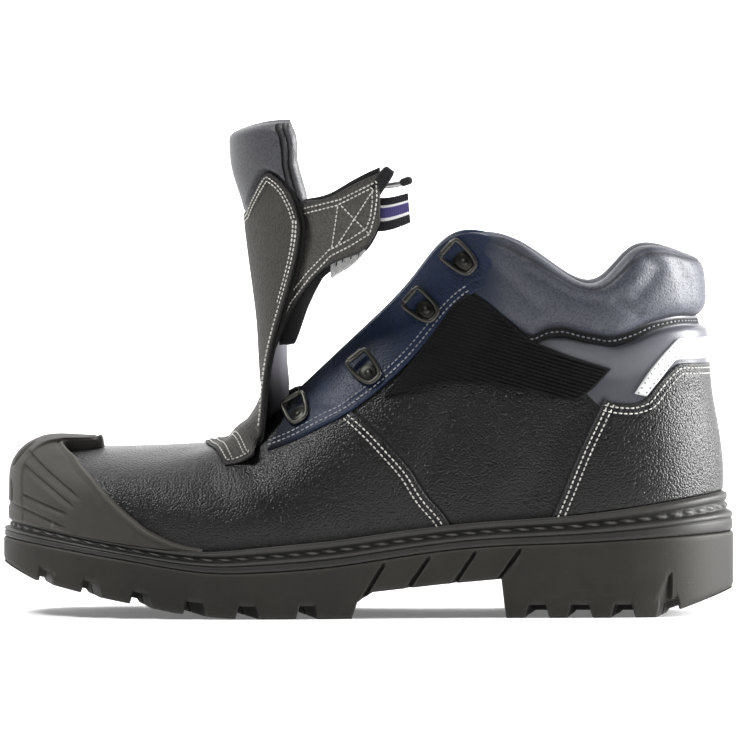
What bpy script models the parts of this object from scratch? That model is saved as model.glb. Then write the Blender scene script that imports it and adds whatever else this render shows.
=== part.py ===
"""Left ankle boot for welding: lugged sole, hollow leather upper, lace flap folded open.

The shape is worked out in millimetres and given to Blender in metres. The toe points to -X,
the outer side of the foot to -Y, and +Z is up. The origin is on the floor, under the middle.
"""

from collections import namedtuple

import bmesh
import bpy
import numpy as np
from mathutils import Matrix, Vector

MM = 0.001

# Driving sizes, in millimetres
GAP = 0.3  # clearance between neighbouring pieces
SEWN_GAP = 0.7  # the same under a sheet that follows the curve of the upper
WALL = 2.4  # leather and lining of the upper
LIP = 4.0  # height of the rubber lip that hides the upper's lower edge
WELT = 6.0  # how far the sole stands out past the upper
INSOLE_WALL, INSOLE_INSET = 4.7, 0.8
AROUND = 56  # facets around the upper
CROWDING = 0.45  # how much closer they stand at the toe and the heel
LEATHER = 1.5  # one layer of leather laid on the upper

# Side of the sole: x, joint of outsole and midsole, top edge of the lip
SideRow = namedtuple("SideRow", "x groove lip")
SIDE_ROWS = (
    SideRow(-156, 32.8, 42.2),
    SideRow(-140, 30.5, 39.0),
    SideRow(-118, 27.1, 34.6),
    SideRow(-96, 23.5, 31.0),
    SideRow(-66, 19.4, 28.6),
    SideRow(-46, 19.6, 30.2),
    SideRow(-16, 21.8, 33.0),
    SideRow(14, 26.0, 37.0),
    SideRow(44, 29.6, 40.2),
    SideRow(89, 31.6, 43.6),
    SideRow(129, 33.9, 49.2),
    SideRow(156, 35.2, 53.6),
)

# Ground side of the lugs: toe spring, forefoot, arch, heel breast, heel and its bevelled end
GroundRow = namedtuple("GroundRow", "x z")
GROUND_ROWS = (
    GroundRow(-156, 22.8),
    GroundRow(-140, 15.5),
    GroundRow(-112, 8.5),
    GroundRow(-82, 2.5),
    GroundRow(-66, 0.8),
    GroundRow(-54, 0.0),
    GroundRow(-7, 0.0),
    GroundRow(-4.5, 7.0),
    GroundRow(2, 11.2),
    GroundRow(30, 14.2),
    GroundRow(56.5, 16.5),
    GroundRow(58.2, 0.0),
    GroundRow(121, 0.0),
    GroundRow(156, 11.6),
)

# Gaps between the lugs: middle of the gap, half width at the floor, forward point of the chevron
LugGap = namedtuple("LugGap", "x half point")
LUG_GAPS = (
    LugGap(-135.5, 3.6, 5),
    LugGap(-117.0, 4.6, 7),
    LugGap(-96.5, 5.0, 5),
    LugGap(-74.6, 5.0, 9),
    LugGap(-52.4, 5.4, 9),
    LugGap(-26.7, 5.0, 9),
    LugGap(70.8, 5.3, -6),
    LugGap(89.0, 5.6, -3),
    LugGap(107.0, 5.4, -6),
    LugGap(125.8, 5.2, -6),
)
LUG_DEPTH = 5.5
GAP_ROOF, GAP_FLARE = 0.62, 1.2  # a gap's width at its roof and below the floor, as shares of half
SOLE_HALF = 50.0  # from the middle to the edge, where each gap has its stated x
BAR_REACH, BAR_BELOW = 75.0, 7.0  # how far the cutting bars pass the side and the floor
TREAD_SPLITS = (-17.0, 17.0)  # grooves along the foot that split each bar into three lugs
SPLIT_DEPTH, SPLIT_ROOF, SPLIT_FLOOR = 4.3, 2.2, 2.9  # their depth and half widths
SPLIT_RUNS = ((-128.0, -12.0), (63.0, 128.0))

# Slanted grooves on the side of the waist: x at the top, all alike
SIDE_RIB_TOPS = (6.1, 25.2, 44.8, 63.8)
RIB_LEAN, RIB_HALF, RIB_DEPTH, RIB_OUT = -8.2, 0.9, 1.3, 4.0
RIB_BELOW_GROOVE, RIB_ABOVE_GROUND = 2.2, 1.0

# Edge of the sole, from the floor up: distance inside the welt's edge, and height as a share
# of the way from the groove to the lip
EdgeRow = namedtuple("EdgeRow", "inset share")
MIDSOLE_EDGE = (
    EdgeRow(0.5, 0.03),
    EdgeRow(0.0, 0.12),
    EdgeRow(0.2, 0.36),
    EdgeRow(1.6, 0.44),
    EdgeRow(2.4, 0.62),
    EdgeRow(2.6, 0.82),
)
LIP_WALL, LIP_ROUND = 1.3, 0.8  # the lip's wall, and how far its inner edge is rounded down
TREAD_OUT, TREAD_ROUND = 0.4, 1.2  # how far the outsole's wall stands out, and its rounded edges
TREAD_EDGE_RISE = 2.5

# Sections of the upper, from toe to heel. foot: where it meets the sole. top: throat or collar
# edge. out and in are the distances to the outer and inner side. rise and flare set how the
# wall leaves the sole. reach, drop and tuck set how it arrives at the top edge.
Section = namedtuple(
    "Section", "name foot_x foot_out foot_in rise flare top_x top_out top_in top_z reach drop tuck"
)
SECTIONS = (
    Section("toe", -149, -5, 5, 47, 3, -48, -2, 2, 74.5, 0.87, 9.5, 0),
    Section("toe_corner", -140.5, 21, 32, 44, 3, -47.5, 5, 9, 75, 0.88, 12, 0),
    Section("toe_side", -121, 38, 45, 39, 3.5, -45.5, 9.5, 13.5, 77, 0.85, 18, 0),
    Section("tread", -92, 47, 50.5, 33, 4, -40, 12.5, 16.5, 83, 0.78, 25, 0),
    Section("ball", -58, 51, 49, 33, 4.5, -30, 15, 18, 93, 0.62, 33, 0),
    Section("waist", -20, 48, 42, 36, 4, -5, 18, 20, 117, 0.60, 34, 0),
    Section("arch", 18, 41.5, 36.5, 40, 4, 20, 22, 23, 143, 0.5, 40, 0),
    Section("instep", 52, 38, 34.5, 40, 3, 41, 26, 26, 162, 0.3, 44, -2),
    Section("ankle", 85, 37, 36, 38, 3, 74, 31.5, 31.5, 149, 0.2, 42, -4),
    Section("heel_side", 112, 35, 35, 36, 3, 98, 31, 31, 139.5, 0.2, 38, -3),
    Section("heel_turn", 131, 28, 28.5, 34, 3, 113.5, 27, 27, 153, 0.2, 42, -3),
    Section("heel_corner", 143, 16, 16.5, 33, 3.5, 127.5, 16.5, 16.5, 152.5, 0.25, 42, -2),
    Section("heel", 149, 0, 0, 32, 4, 135.5, 0, 0, 149.5, 0.25, 42, -2),
)

# Lines on the upper, seen from the outer side: x and height of each corner
CAP_EDGE = ((-115.6, 58.5), (-104.3, 46.5), (-93.9, 38.0), (-83.0, 32.6))
CAP_BACK = ((-112, 3), (-112.4, -5), (-115, -10.5), (-121, -13.5), (-128, -17))  # its lip, in plan: x, y
CAP_WALL, CAP_GAP, CAP_BEAD = 2.6, 0.9, 0.4
CAP_BAND_RISE = 1.0  # raised band that runs from the lip over the middle of the toe
CAP_STRIP = 0.014  # widest step of u between two of the cap's columns
COUNTER_FRONT = ((77.8, 43.0), (83.0, 55.0), (89.5, 71.0), (99.8, 92.0))
COUNTER_TOP = ((99.8, 92.0), (112.6, 90.4), (117.7, 92.0), (127.0, 104.0), (129.5, 106.6))
COUNTER_BACK_Z = 106.6
BAND_LOW = ((117.7, 93.2), (123.0, 99.8), (128.4, 107.9))
BAND_HIGH = ((112.6, 94.5), (120.0, 106.0), (127.6, 117.0))
BAND_BACK_LOW, BAND_BACK_HIGH = 108.2, 117.0
COLLAR_SEAM = (
    (49.8, 136.8), (58.0, 128.8), (68.5, 119.5), (76.0, 122.6), (84.0, 122.8), (95.2, 120.2),
    (104.0, 118.6), (113.4, 121.0), (122.3, 124.7), (131.5, 126.6),
)
COLLAR_BACK_Z = 126.4
COLLAR_EDGE, COLLAR_PAD = 1.4, 5.4  # wall at the seam, and what the padding adds
COLLAR_TOP = 1.02  # just past the upper's own top edge
EYESTAY_LOW = (
    (-40.5, 76.0), (-32.9, 79.7), (-14.2, 88.2), (-3.6, 93.7), (7.4, 102.6), (20.1, 116.2),
    (34.1, 136.5), (43.0, 141.5),
)
PATCH_LEFT = ((6.5, 93.5), (21.5, 112.0), (35.2, 132.0), (42.5, 136.6))
PATCH_TOP = ((42.5, 136.6), (54.8, 126.2), (66.8, 115.8), (81.0, 112.0), (101.5, 105.6))
PATCH_RIGHT = ((88.0, 91.2), (95.5, 97.5), (101.5, 105.6))
PATCH_LOW = ((6.5, 93.5), (16.0, 95.6), (31.6, 99.0), (52.4, 98.6), (68.0, 95.2), (88.0, 91.2))
LACE_RINGS = ((-27.8, 84.6), (2.4, 100.0), (26.0, 128.2), (41.6, 147.6))
RING_LIFT = 0.45
RING_WIRE, RING_WIRE_SIDES, RIVET_SIDES = 1.05, 6, 10
RIVET_PROFILE = ((4.4, 0.0), (4.4, 0.9), (3.0, 1.0), (2.6, 2.2))  # radius, height
RING_HALF_FRAME = ((-1.3, 1.9, 1.62), (3.2, 4.5, 1.9), (10.4, 6.4, 3.4), (12.0, 4.6, 3.6))
PATCH_WALL, BAND_WALL = 1.6, 1.0

# Standing part of the tongue and flap: middle line, half width, how far the edges sweep back
# and how far they hang below the middle
TongueRow = namedtuple("TongueRow", "x z half sweep hang")
TONGUE_ROWS = (
    TongueRow(-46.0, 92.0, 31, 2.0, 14.0),
    TongueRow(-46.2, 105.0, 29, 5.0, 13.0),
    TongueRow(-47.8, 123.0, 31, 10.5, 9.0),
    TongueRow(-50.0, 143.0, 36, 18.0, 4.0),
    TongueRow(-52.0, 160.0, 40, 22.5, 0.0),
    TongueRow(-54.0, 174.0, 42, 24.0, -3.0),
    TongueRow(-57.0, 188.0, 42.5, 24.0, -6.0),
    TongueRow(-58.2, 201.5, 41, 22.5, -8.0),
)
TONGUE_MIDDLE_Y = 2.0
# Base of the flap, sewn down on the vamp: x on the middle line, half width, how far the corners
# sit back, clearance over the vamp
BaseRow = namedtuple("BaseRow", "x half back gap")
BASE_ROWS = (
    BaseRow(-68.5, 35, 8.0, 0.6),
    BaseRow(-60.5, 36, 7.0, 1.2),
    BaseRow(-54.0, 36, 7.0, 1.3),
)
FLAP_WALL = 2.0
FLAP_TOP = ((0.0, 0.06), (0.4, 0.42), (0.72, 0.95), (0.9, 0.85), (1.0, 0.30))
FLAP_TOP_ROW = 7.6  # row of the flap's top edge on its middle line, counted from its base
# Padded tongue behind the flap: row, share of the width, padding
PadRow = namedtuple("PadRow", "row share front back")
PAD_ROWS = (
    PadRow(4.0, 0.50, -2.4, -5.0),
    PadRow(5.0, 0.62, -2.4, -8.5),
    PadRow(6.0, 0.66, -2.4, -9.5),
    PadRow(7.0, 0.70, -2.4, -10.0),
    PadRow(8.0, 0.62, -2.4, -11.0),
    PadRow(8.4, 0.66, -2.4, -11.0),
    PadRow(8.8, 0.95, -2.4, -10.5),
    PadRow(9.4, 0.97, 1.6, -10.0),
    PadRow(9.8, 0.95, 1.2, -9.0),
    PadRow(10.0, 0.90, -1.5, -6.5),
)

# Strap of the flap, which closes over the patch: x, lower and upper edge, distance to the outside
StrapRow = namedtuple("StrapRow", "x low high out")
STRAP_ROWS = (
    StrapRow(-34.4, 133.0, 175.5, 27.6),
    StrapRow(-29.0, 137.8, 176.4, 33.5),
    StrapRow(-19.7, 147.0, 177.0, 39.5),
    StrapRow(-8.3, 152.6, 183.0, 43.5),
    StrapRow(1.5, 158.0, 187.4, 45.5),
    StrapRow(4.8, 164.0, 188.8, 46.0),
)
STRAP_WALL = 2.0
LINING_WALL = 1.2
LINING_SPAN = (-33.0, 2.5)
LINING_BELOW = 6.0
TAPE_WALL, TAPE_RISE, TAPE_TURN_IN = 1.2, 0.16, 0.02  # wall and slopes of the two tape ends
TAPE_END_X = 17.0
TAPE_Z = (164.8, 177.0)
KEEPER_END_X = 18.0
KEEPER_Z = (181.0, 187.0)

# Colours of the materials: base colour, roughness, metallic
FINISHES = {
    "black_leather": ((0.018, 0.018, 0.019), 0.45, 0.0),
    "soft_leather": ((0.032, 0.036, 0.055), 0.42, 0.0),
    "flap_leather": ((0.045, 0.043, 0.038), 0.55, 0.0),
    "sole_rubber": ((0.035, 0.035, 0.030), 0.62, 0.0),
    "cap_rubber": ((0.050, 0.047, 0.042), 0.6, 0.0),
    "loop_fabric": ((0.008, 0.008, 0.008), 0.9, 0.0),
    "lining_fabric": ((0.10, 0.10, 0.11), 0.9, 0.0),
    "reflective": ((0.86, 0.87, 0.88), 0.35, 0.0),
    "striped_tape": ((0.06, 0.05, 0.16), 0.8, 0.0),
    "dark_metal": ((0.16, 0.16, 0.15), 0.3, 1.0),
}


# Curves


def spline(knots, values, closed=False):
    """Smooth cubic curve through values at knots. A closed curve repeats with period 1."""
    knots = np.asarray(knots, float)
    values = np.asarray(values, float)
    if closed:
        repeats = (-1, 0, 1)
        knots = np.concatenate([knots + r for r in repeats])
        values = np.concatenate([values for _ in repeats])
    n = len(knots)
    step = np.diff(knots)
    flat = values.reshape(n, -1)
    slope = np.diff(flat, axis=0) / step[:, None]
    matrix = np.eye(n)
    right = np.zeros_like(flat)
    for i in range(1, n - 1):
        matrix[i, i - 1 : i + 2] = step[i - 1], 2 * (step[i - 1] + step[i]), step[i]
        right[i] = 6 * (slope[i] - slope[i - 1])
    bend = np.linalg.solve(matrix, right)

    def curve(at):
        at = np.asarray(at, float)
        if closed:
            at = at % 1.0
        i = np.clip(np.searchsorted(knots, at, side="right") - 1, 0, n - 2)
        h = step[i][..., None]
        after = (at - knots[i])[..., None] / h
        before = 1 - after
        found = before * flat[i] + after * flat[i + 1]
        found += ((before**3 - before) * bend[i] + (after**3 - after) * bend[i + 1]) * h**2 / 6
        return found.reshape(at.shape + values.shape[1:])

    return curve


def polyline(points, at):
    """Points at equal shares (0 to 1) of a broken line's length."""
    points = np.asarray(points, float)
    run = np.concatenate([[0], np.cumsum(np.linalg.norm(np.diff(points, axis=0), axis=1))])
    return np.stack([np.interp(at, run / run[-1], points[:, k]) for k in (0, 1)], axis=-1)


def unit(vectors):
    return vectors / np.linalg.norm(vectors, axis=-1, keepdims=True)


groove_z = spline([r.x for r in SIDE_ROWS], [r.groove for r in SIDE_ROWS])
lip_z = spline([r.x for r in SIDE_ROWS], [r.lip for r in SIDE_ROWS])


def ground_z(x):
    return np.interp(x, [r.x for r in GROUND_ROWS], [r.z for r in GROUND_ROWS])


# The upper's own surface


def control_loops():
    """The four closed curves that steer the upper: foot, lower handle, upper handle, top edge."""
    half = len(SECTIONS) - 1
    rows = SECTIONS + SECTIONS[-2:0:-1]
    foot_y = [-s.foot_out for s in SECTIONS] + [s.foot_in for s in SECTIONS[-2:0:-1]]
    top_y = [-s.top_out for s in SECTIONS] + [s.top_in for s in SECTIONS[-2:0:-1]]
    foot = np.array([(s.foot_x, y, float(lip_z(s.foot_x)) - LIP) for s, y in zip(rows, foot_y)])
    top = np.array([(s.top_x, y, s.top_z) for s, y in zip(rows, top_y)])
    chord = np.linalg.norm(np.diff(np.vstack([foot, foot[:1]]), axis=0), axis=1)
    mean = (chord[:half] + chord[half:][::-1]) / 2
    share = np.concatenate([[0], np.cumsum(mean)]) / mean.sum() / 2
    knots = np.concatenate([share, 1 - share[-2:0:-1]])
    ahead = np.roll(foot, -1, 0) - np.roll(foot, 1, 0)
    away = unit(np.stack([ahead[:, 1], -ahead[:, 0], np.zeros(len(ahead))], axis=1))
    up = np.array([0, 0, 1.0])
    names = ("rise", "flare", "reach", "drop", "tuck")
    rise, flare, reach, drop, tuck = (np.array([[getattr(s, k)] for s in rows]) for k in names)
    low = foot + rise * up + flare * away
    high = top + reach * (foot - top) * (1, 1, 0) - drop * up + tuck * away
    return [spline(knots, loop, closed=True) for loop in (foot, low, high, top)]


LOOPS = control_loops()


def wall_point(u, v):
    """Bezier from the foot loop to the top loop. u runs round from the toe by the outer side."""
    foot, low, high, top = (loop(u) for loop in LOOPS)
    t = v[..., None]
    r = 1 - t
    return r**3 * foot + 3 * r**2 * t * low + 3 * r * t**2 * high + t**3 * top


def wall_normal(u, v):
    step = 1e-4
    along = wall_point(u + step, v) - wall_point(u - step, v)
    upward = wall_point(u, v + step) - wall_point(u, v - step)
    return unit(np.cross(along, upward))


def upper(u, v, lift=0.0):
    """A point on the upper, lifted off its outer face by lift."""
    u, v = np.broadcast_arrays(np.asarray(u, float), np.asarray(v, float))
    return wall_point(u, v) + np.asarray(lift)[..., None] * wall_normal(u, v)


SEARCH_U, SEARCH_V = np.meshgrid(np.linspace(0, 0.5, 401), np.linspace(0, 1.0, 201), indexing="ij")
SEARCH = upper(SEARCH_U, SEARCH_V)


def find(points, axes=(0, 2), lowest_v=0.0):
    """(u, v) of the outer half's points that show at these places in a side view, or a plan."""
    found = []
    for point in np.atleast_2d(points):
        miss = np.hypot(SEARCH[..., axes[0]] - point[0], SEARCH[..., axes[1]] - point[1])
        miss[SEARCH_V < lowest_v] = np.inf
        i = np.unravel_index(np.argmin(miss), miss.shape)
        found.append((SEARCH_U[i], SEARCH_V[i]))
    return np.array(found)


def find_in_plan(points):
    """(u, v) of the vamp's top under these places in plan, on the outer half."""
    return find(points, axes=(0, 1), lowest_v=0.3)


def v_at_height(u, z):
    """Where the wall at u first reaches the height z."""
    v = np.linspace(0, 1, 301)
    u, z = np.broadcast_arrays(np.asarray(u, float), np.asarray(z, float))
    walls = [wall_point(np.full_like(v, at), v)[:, 2] for at in u.ravel()]
    return np.array([np.interp(h, wall, v) for h, wall in zip(z.ravel(), walls)]).reshape(u.shape)


def v_lip(u):
    """Where the upper comes out of the rubber lip."""
    return v_at_height(u, lip_z(LOOPS[0](u)[..., 0]) + GAP)


# Meshes


def add_object(name, verts, faces, finish):
    mesh = bpy.data.meshes.new(name)
    mesh.from_pydata((np.asarray(verts) * MM).tolist(), [], [list(map(int, f)) for f in faces])
    shape = bmesh.new()
    shape.from_mesh(mesh)
    bmesh.ops.recalc_face_normals(shape, faces=shape.faces)
    shape.to_mesh(mesh)
    shape.free()
    mesh.shade_smooth()
    mesh.set_sharp_from_angle(angle=np.radians(40))
    mesh.materials.append(finish)
    made = bpy.data.objects.new(name, mesh)
    bpy.context.scene.collection.objects.link(made)
    return made


def ring_faces(rings, around, closed_rings=False):
    """Quads between neighbouring rings of a stack."""
    faces = []
    for k in range(rings if closed_rings else rings - 1):
        a, b = k * around, (k + 1) % rings * around
        for i in range(around):
            j = (i + 1) % around
            faces.append((a + i, a + j, b + j, b + i))
    return faces


def across_faces(start, around):
    """Strips across a ring, from its outer side to its inner side."""
    half = around // 2
    faces = [(start, start + 1, start + around - 1)]
    for i in range(1, half - 1):
        faces.append((start + i, start + i + 1, start + around - i - 1, start + around - i))
    faces.append((start + half - 1, start + half, start + half + 1))
    return faces


def stacked_solid(name, rings, finish):
    """Closed solid from a stack of rings, with its first and last ring filled across."""
    around = len(rings[0])
    faces = ring_faces(len(rings), around)
    faces += across_faces(0, around)
    faces += across_faces((len(rings) - 1) * around, around)
    return add_object(name, np.concatenate(rings), faces, finish)


def sheet_solid(name, front, back, finish):
    """Closed solid between two grids of the same size."""
    rows, columns = front.shape[:2]
    size = rows * columns
    index = np.arange(size).reshape(rows, columns)
    faces = []
    for i in range(rows - 1):
        for j in range(columns - 1):
            quad = (index[i, j], index[i + 1, j], index[i + 1, j + 1], index[i, j + 1])
            faces.append(quad)
            faces.append(tuple(size + k for k in reversed(quad)))
    rim = [*index[:, 0], *index[-1, 1:], *index[-2::-1, -1], *index[0, -2:0:-1]]
    for a, b in zip(rim, rim[1:] + rim[:1]):
        faces.append((a, b, size + b, size + a))
    return add_object(name, np.concatenate([front.reshape(-1, 3), back.reshape(-1, 3)]), faces, finish)


def tube_faces(points, radius, sides):
    """Vertices and faces of a closed tube along a closed path."""
    points = np.asarray(points, float)
    ahead = unit(np.roll(points, -1, 0) - np.roll(points, 1, 0))
    side = unit(np.cross(ahead, (0.05, 0.02, 1.0)))
    over = np.cross(side, ahead)
    turn = np.linspace(0, 2 * np.pi, sides, endpoint=False)
    ring = np.cos(turn)[None, :, None] * side[:, None] + np.sin(turn)[None, :, None] * over[:, None]
    verts = points[:, None] + radius * ring
    return verts.reshape(-1, 3), ring_faces(len(points), sides, closed_rings=True)


def turned_faces(profile, sides):
    """Vertices and faces of a profile (radius, height) turned about the local Z axis."""
    turn = np.linspace(0, 2 * np.pi, sides, endpoint=False)
    verts = [(r * np.cos(a), r * np.sin(a), z) for r, z in profile for a in turn]
    faces = ring_faces(len(profile), sides)
    faces += [tuple(range(sides)), tuple(range((len(profile) - 1) * sides, len(profile) * sides))]
    return verts, faces


def cutter(name, verts, faces, finish):
    made = add_object(name, verts, faces, finish)
    made.hide_render = True
    made.display_type = "WIRE"
    return made


def cut(body, tool, operation="DIFFERENCE"):
    step = body.modifiers.new(tool.name, "BOOLEAN")
    step.operation = operation
    step.solver = "EXACT"
    step.object = tool


# Sole


def upper_stations():
    """u around the upper, closer together at the toe and the heel, where it bends most."""
    even = np.arange(AROUND) / AROUND
    return even - CROWDING * np.sin(4 * np.pi * even) / (4 * np.pi)


def sole_rounds():
    """u around the sole: even steps, with a station at every corner of the ground line."""
    outer = upper_stations()[: AROUND // 2 + 1]
    fine = np.linspace(0, 0.5, 2001)
    run = LOOPS[0](fine)[:, 0]
    corners = [np.interp(r.x, run, fine) for r in GROUND_ROWS if -60 < r.x < 130]
    even = [u for u in outer if min(abs(u - c) for c in corners) > 0.004]
    half = np.array(sorted(even + corners))
    return np.concatenate([half, 1 - half[-2:0:-1]])


def sole_ring(u, spread, height):
    """The foot loop moved outwards in plan by spread, at a height worked out from x."""
    foot = LOOPS[0](u)
    step = 1e-4
    ahead = LOOPS[0](u + step) - LOOPS[0](u - step)
    away = unit(np.stack([ahead[:, 1], -ahead[:, 0], np.zeros(len(u))], axis=1))
    ring = foot + spread * away
    ring[:, 2] = height(ring[:, 0])
    return ring


def prism_row(sections, corners):
    """Faces of a bar through several sections, each with the same number of corners."""
    faces = ring_faces(sections, corners)
    return faces + [tuple(range(corners)), tuple(range((sections - 1) * corners, sections * corners))]


def gap_bars():
    """Chevron bars that cut the gaps between the lugs right across the sole."""
    verts, faces = [], []
    for gap in LUG_GAPS:
        floor = float(ground_z(gap.x))
        wide, narrow = gap.half * GAP_FLARE, gap.half * GAP_ROOF
        below, roof = floor - BAR_BELOW, floor + LUG_DEPTH
        start = len(verts)
        for y in (-BAR_REACH, 0.0, BAR_REACH):
            x = gap.x - gap.point * (1 - abs(y) / SOLE_HALF)
            verts += [(x - wide, y, below), (x + wide, y, below)]
            verts += [(x + narrow, y, roof), (x - narrow, y, roof)]
        faces += [tuple(start + k for k in f) for f in prism_row(3, 4)]
    return verts, faces


def split_bars():
    """Long bars that split the lugs along the foot."""
    verts, faces = [], []
    for y in TREAD_SPLITS:
        for begin, end in SPLIT_RUNS:
            start = len(verts)
            xs = np.linspace(begin, end, 6)
            for x in xs:
                below, roof = ground_z(x) - BAR_BELOW, ground_z(x) + SPLIT_DEPTH
                verts += [(x, y - SPLIT_FLOOR, below), (x, y + SPLIT_FLOOR, below)]
                verts += [(x, y + SPLIT_ROOF, roof), (x, y - SPLIT_ROOF, roof)]
            faces += [tuple(start + k for k in f) for f in prism_row(len(xs), 4)]
    return verts, faces


def rib_bars():
    """Slanted bars that cut the shallow grooves of the waist on both sides of the sole."""
    verts, faces = [], []
    fine = np.linspace(0, 0.5, 801)
    for side, u in ((-1, fine), (1, 1 - fine)):
        edge = sole_ring(u, WELT + TREAD_OUT, groove_z)
        for top in SIDE_RIB_TOPS:
            start = len(verts)
            bottom = top + RIB_LEAN
            heights = groove_z(top) - RIB_BELOW_GROOVE, ground_z(bottom) + RIB_ABOVE_GROUND
            for x, z in zip((top, bottom), heights):
                wall = np.interp(x, edge[:, 0], edge[:, 1])
                out, deep = wall + side * RIB_OUT, wall - side * RIB_DEPTH
                verts += [(x - RIB_HALF, out, z), (x + RIB_HALF, out, z)]
                verts += [(x + RIB_HALF, deep, z), (x - RIB_HALF, deep, z)]
            faces += [tuple(start + k for k in f) for f in prism_row(2, 4)]
    return verts, faces


def build_outsole(finish):
    u = sole_rounds()
    rings = [
        sole_ring(u, WELT - TREAD_OUT, groove_z),
        sole_ring(u, WELT + TREAD_OUT, lambda x: groove_z(x) - TREAD_ROUND),
        sole_ring(u, WELT + TREAD_OUT, lambda x: ground_z(x) + TREAD_EDGE_RISE),
        sole_ring(u, WELT - 2 * TREAD_OUT, ground_z),
    ]
    outsole = stacked_solid("outsole", rings, finish["sole_rubber"])
    for name, bars in (("lug_gaps", gap_bars), ("lug_splits", split_bars), ("waist_ribs", rib_bars)):
        cut(outsole, cutter(name, *bars(), finish["sole_rubber"]))


def foot_bed(u, spread=0.0):
    """Ring under the upper's lower edge, where the midsole carries it."""
    ring = upper(u, 0.0, spread)
    ring[:, 2] = LOOPS[0](u)[:, 2] - GAP
    return ring


def between_joint_and_lip(share):
    """Height, as a function of x, that lies at this share of the way from the groove to the lip."""
    return lambda x: (1 - share) * groove_z(x) + share * lip_z(x)


def build_midsole(finish):
    u = sole_rounds()
    rings = [sole_ring(u, WELT - row.inset, between_joint_and_lip(row.share)) for row in MIDSOLE_EDGE]
    lip_top = upper(u, v_lip(u), GAP + LIP_WALL) - (0, 0, GAP)
    lip_inside = upper(u, v_lip(u), GAP) - (0, 0, LIP_ROUND)
    rings += [lip_top, lip_inside, foot_bed(u, GAP)]
    stacked_solid("midsole", rings, finish["sole_rubber"])


def build_insole(finish):
    u = sole_rounds()
    under = foot_bed(u, -WALL - INSOLE_INSET) + (0, 0, GAP)
    over = under + (0, 0, INSOLE_WALL)
    stacked_solid("insole", [under, over], finish["lining_fabric"])


# Upper and what is sewn to it


def build_upper(finish):
    u = upper_stations()
    heights = np.linspace(0, 1, 11)
    outside = [upper(u, v) for v in heights]
    inside = [upper(u, v, -WALL) for v in heights[::-1]]
    rings = outside + inside
    faces = ring_faces(len(rings), AROUND, closed_rings=True)
    add_object("upper", np.concatenate(rings), faces, finish["black_leather"])


def build_toe_cap(finish):
    lip = find_in_plan(CAP_BACK)
    edge = np.concatenate([lip, find(CAP_EDGE)])
    out = [edge[0, 0]]
    for u in edge[1:, 0]:
        steps = int(np.ceil((u - out[-1]) / CAP_STRIP))
        out.extend(np.linspace(out[-1], u, steps + 1)[1:])
    u = np.concatenate([-np.array(out[:0:-1]), out])
    high = np.interp(np.abs(u), edge[:, 0], edge[:, 1])
    low = v_lip(u % 1)
    up = np.linspace(0, 1, 6)
    v = low[:, None] + (high - low)[:, None] * up
    band = np.where(np.abs(u) < lip[-1, 0], CAP_BAND_RISE, 0.0)
    bead = np.where(up == 1, CAP_BEAD, 0.0)
    around = np.broadcast_to(u[:, None], v.shape)
    sewn_sheet("toe_cap", around, v, CAP_WALL + band[:, None] + bead, finish["cap_rubber"], CAP_GAP)


def mirrored(u, v):
    """The same grid carried on round the heel to the inner side."""
    return np.concatenate([u, 1 - u[-2::-1]]), np.concatenate([v, v[-2::-1]])


def sewn_sheet(name, u, v, wall, finish, lift=SEWN_GAP):
    front = upper(u, v, lift + np.broadcast_to(wall, v.shape))
    return sheet_solid(name, front, upper(u, v, np.full(v.shape, lift)), finish)


def build_counter(finish):
    up = np.linspace(0, 1, 7)
    seam = find(polyline(COUNTER_FRONT, up))
    top = find(COUNTER_TOP)
    top_u = np.append(top[:, 0], 0.5)
    stations = np.unique(np.concatenate([top[:, 0], np.linspace(top[2, 0], 0.5, 8)]))
    across = ((stations - stations[0]) / (0.5 - stations[0]))[:, None]
    u = seam[:, 0] * (1 - across) + 0.5 * across
    top_v = np.append(top[:, 1], v_at_height(0.5, COUNTER_BACK_Z))
    high = np.interp(u[:, -1], top_u, top_v)[:, None]
    low = v_lip(u[:, :1])
    v = low + (high - low) * up
    sewn_sheet("heel_counter", *mirrored(u, v), LEATHER, finish["black_leather"])


def build_reflective_band(finish):
    low, high = find(BAND_LOW), find(BAND_HIGH)
    turn = np.linspace(0, 1, 6)[1:, None]
    share = np.linspace(0, 1, 3)
    u = low[:, :1] * (1 - share) + high[:, :1] * share
    v = low[:, 1:] * (1 - share) + high[:, 1:] * share
    u = np.concatenate([u, u[-1] * (1 - turn) + 0.5 * turn])
    z = BAND_BACK_LOW * (1 - share) + BAND_BACK_HIGH * share
    back = u[len(low) :]
    v = np.concatenate([v, v_at_height(back, np.broadcast_to(z, back.shape))])
    sewn_sheet("reflective_band", *mirrored(u, v), BAND_WALL, finish["reflective"])


def build_collar(finish):
    seam = find(COLLAR_SEAM)
    seam = np.vstack([seam, (0.5, v_at_height(0.5, COLLAR_BACK_Z))])
    around = np.linspace(seam[0, 0], 0.5, 16)
    low = np.interp(around, seam[:, 0], seam[:, 1])[:, None]
    up = np.array([0, 0.08, 0.26, 0.5, 0.74, 0.92, 1.0])
    v = low + (COLLAR_TOP - low) * up
    u = np.broadcast_to(around[:, None], v.shape)
    puff = COLLAR_EDGE + COLLAR_PAD * np.clip(np.sin(np.pi * up), 0, 1) ** 0.6
    sewn_sheet("collar", *mirrored(u, v), puff, finish["soft_leather"])


def build_eyestays(finish):
    low = find(EYESTAY_LOW)
    u = np.linspace(low[0, 0], low[-1, 0], 15)
    start = np.interp(u, low[:, 0], low[:, 1])[:, None]
    v = start + (1 - start) * np.linspace(0, 1, 4)
    grid = np.broadcast_to(u[:, None], v.shape)
    sewn_sheet("eyestay_outer", grid, v, LEATHER, finish["soft_leather"])
    sewn_sheet("eyestay_inner", 1 - grid, v, LEATHER, finish["soft_leather"])


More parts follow.
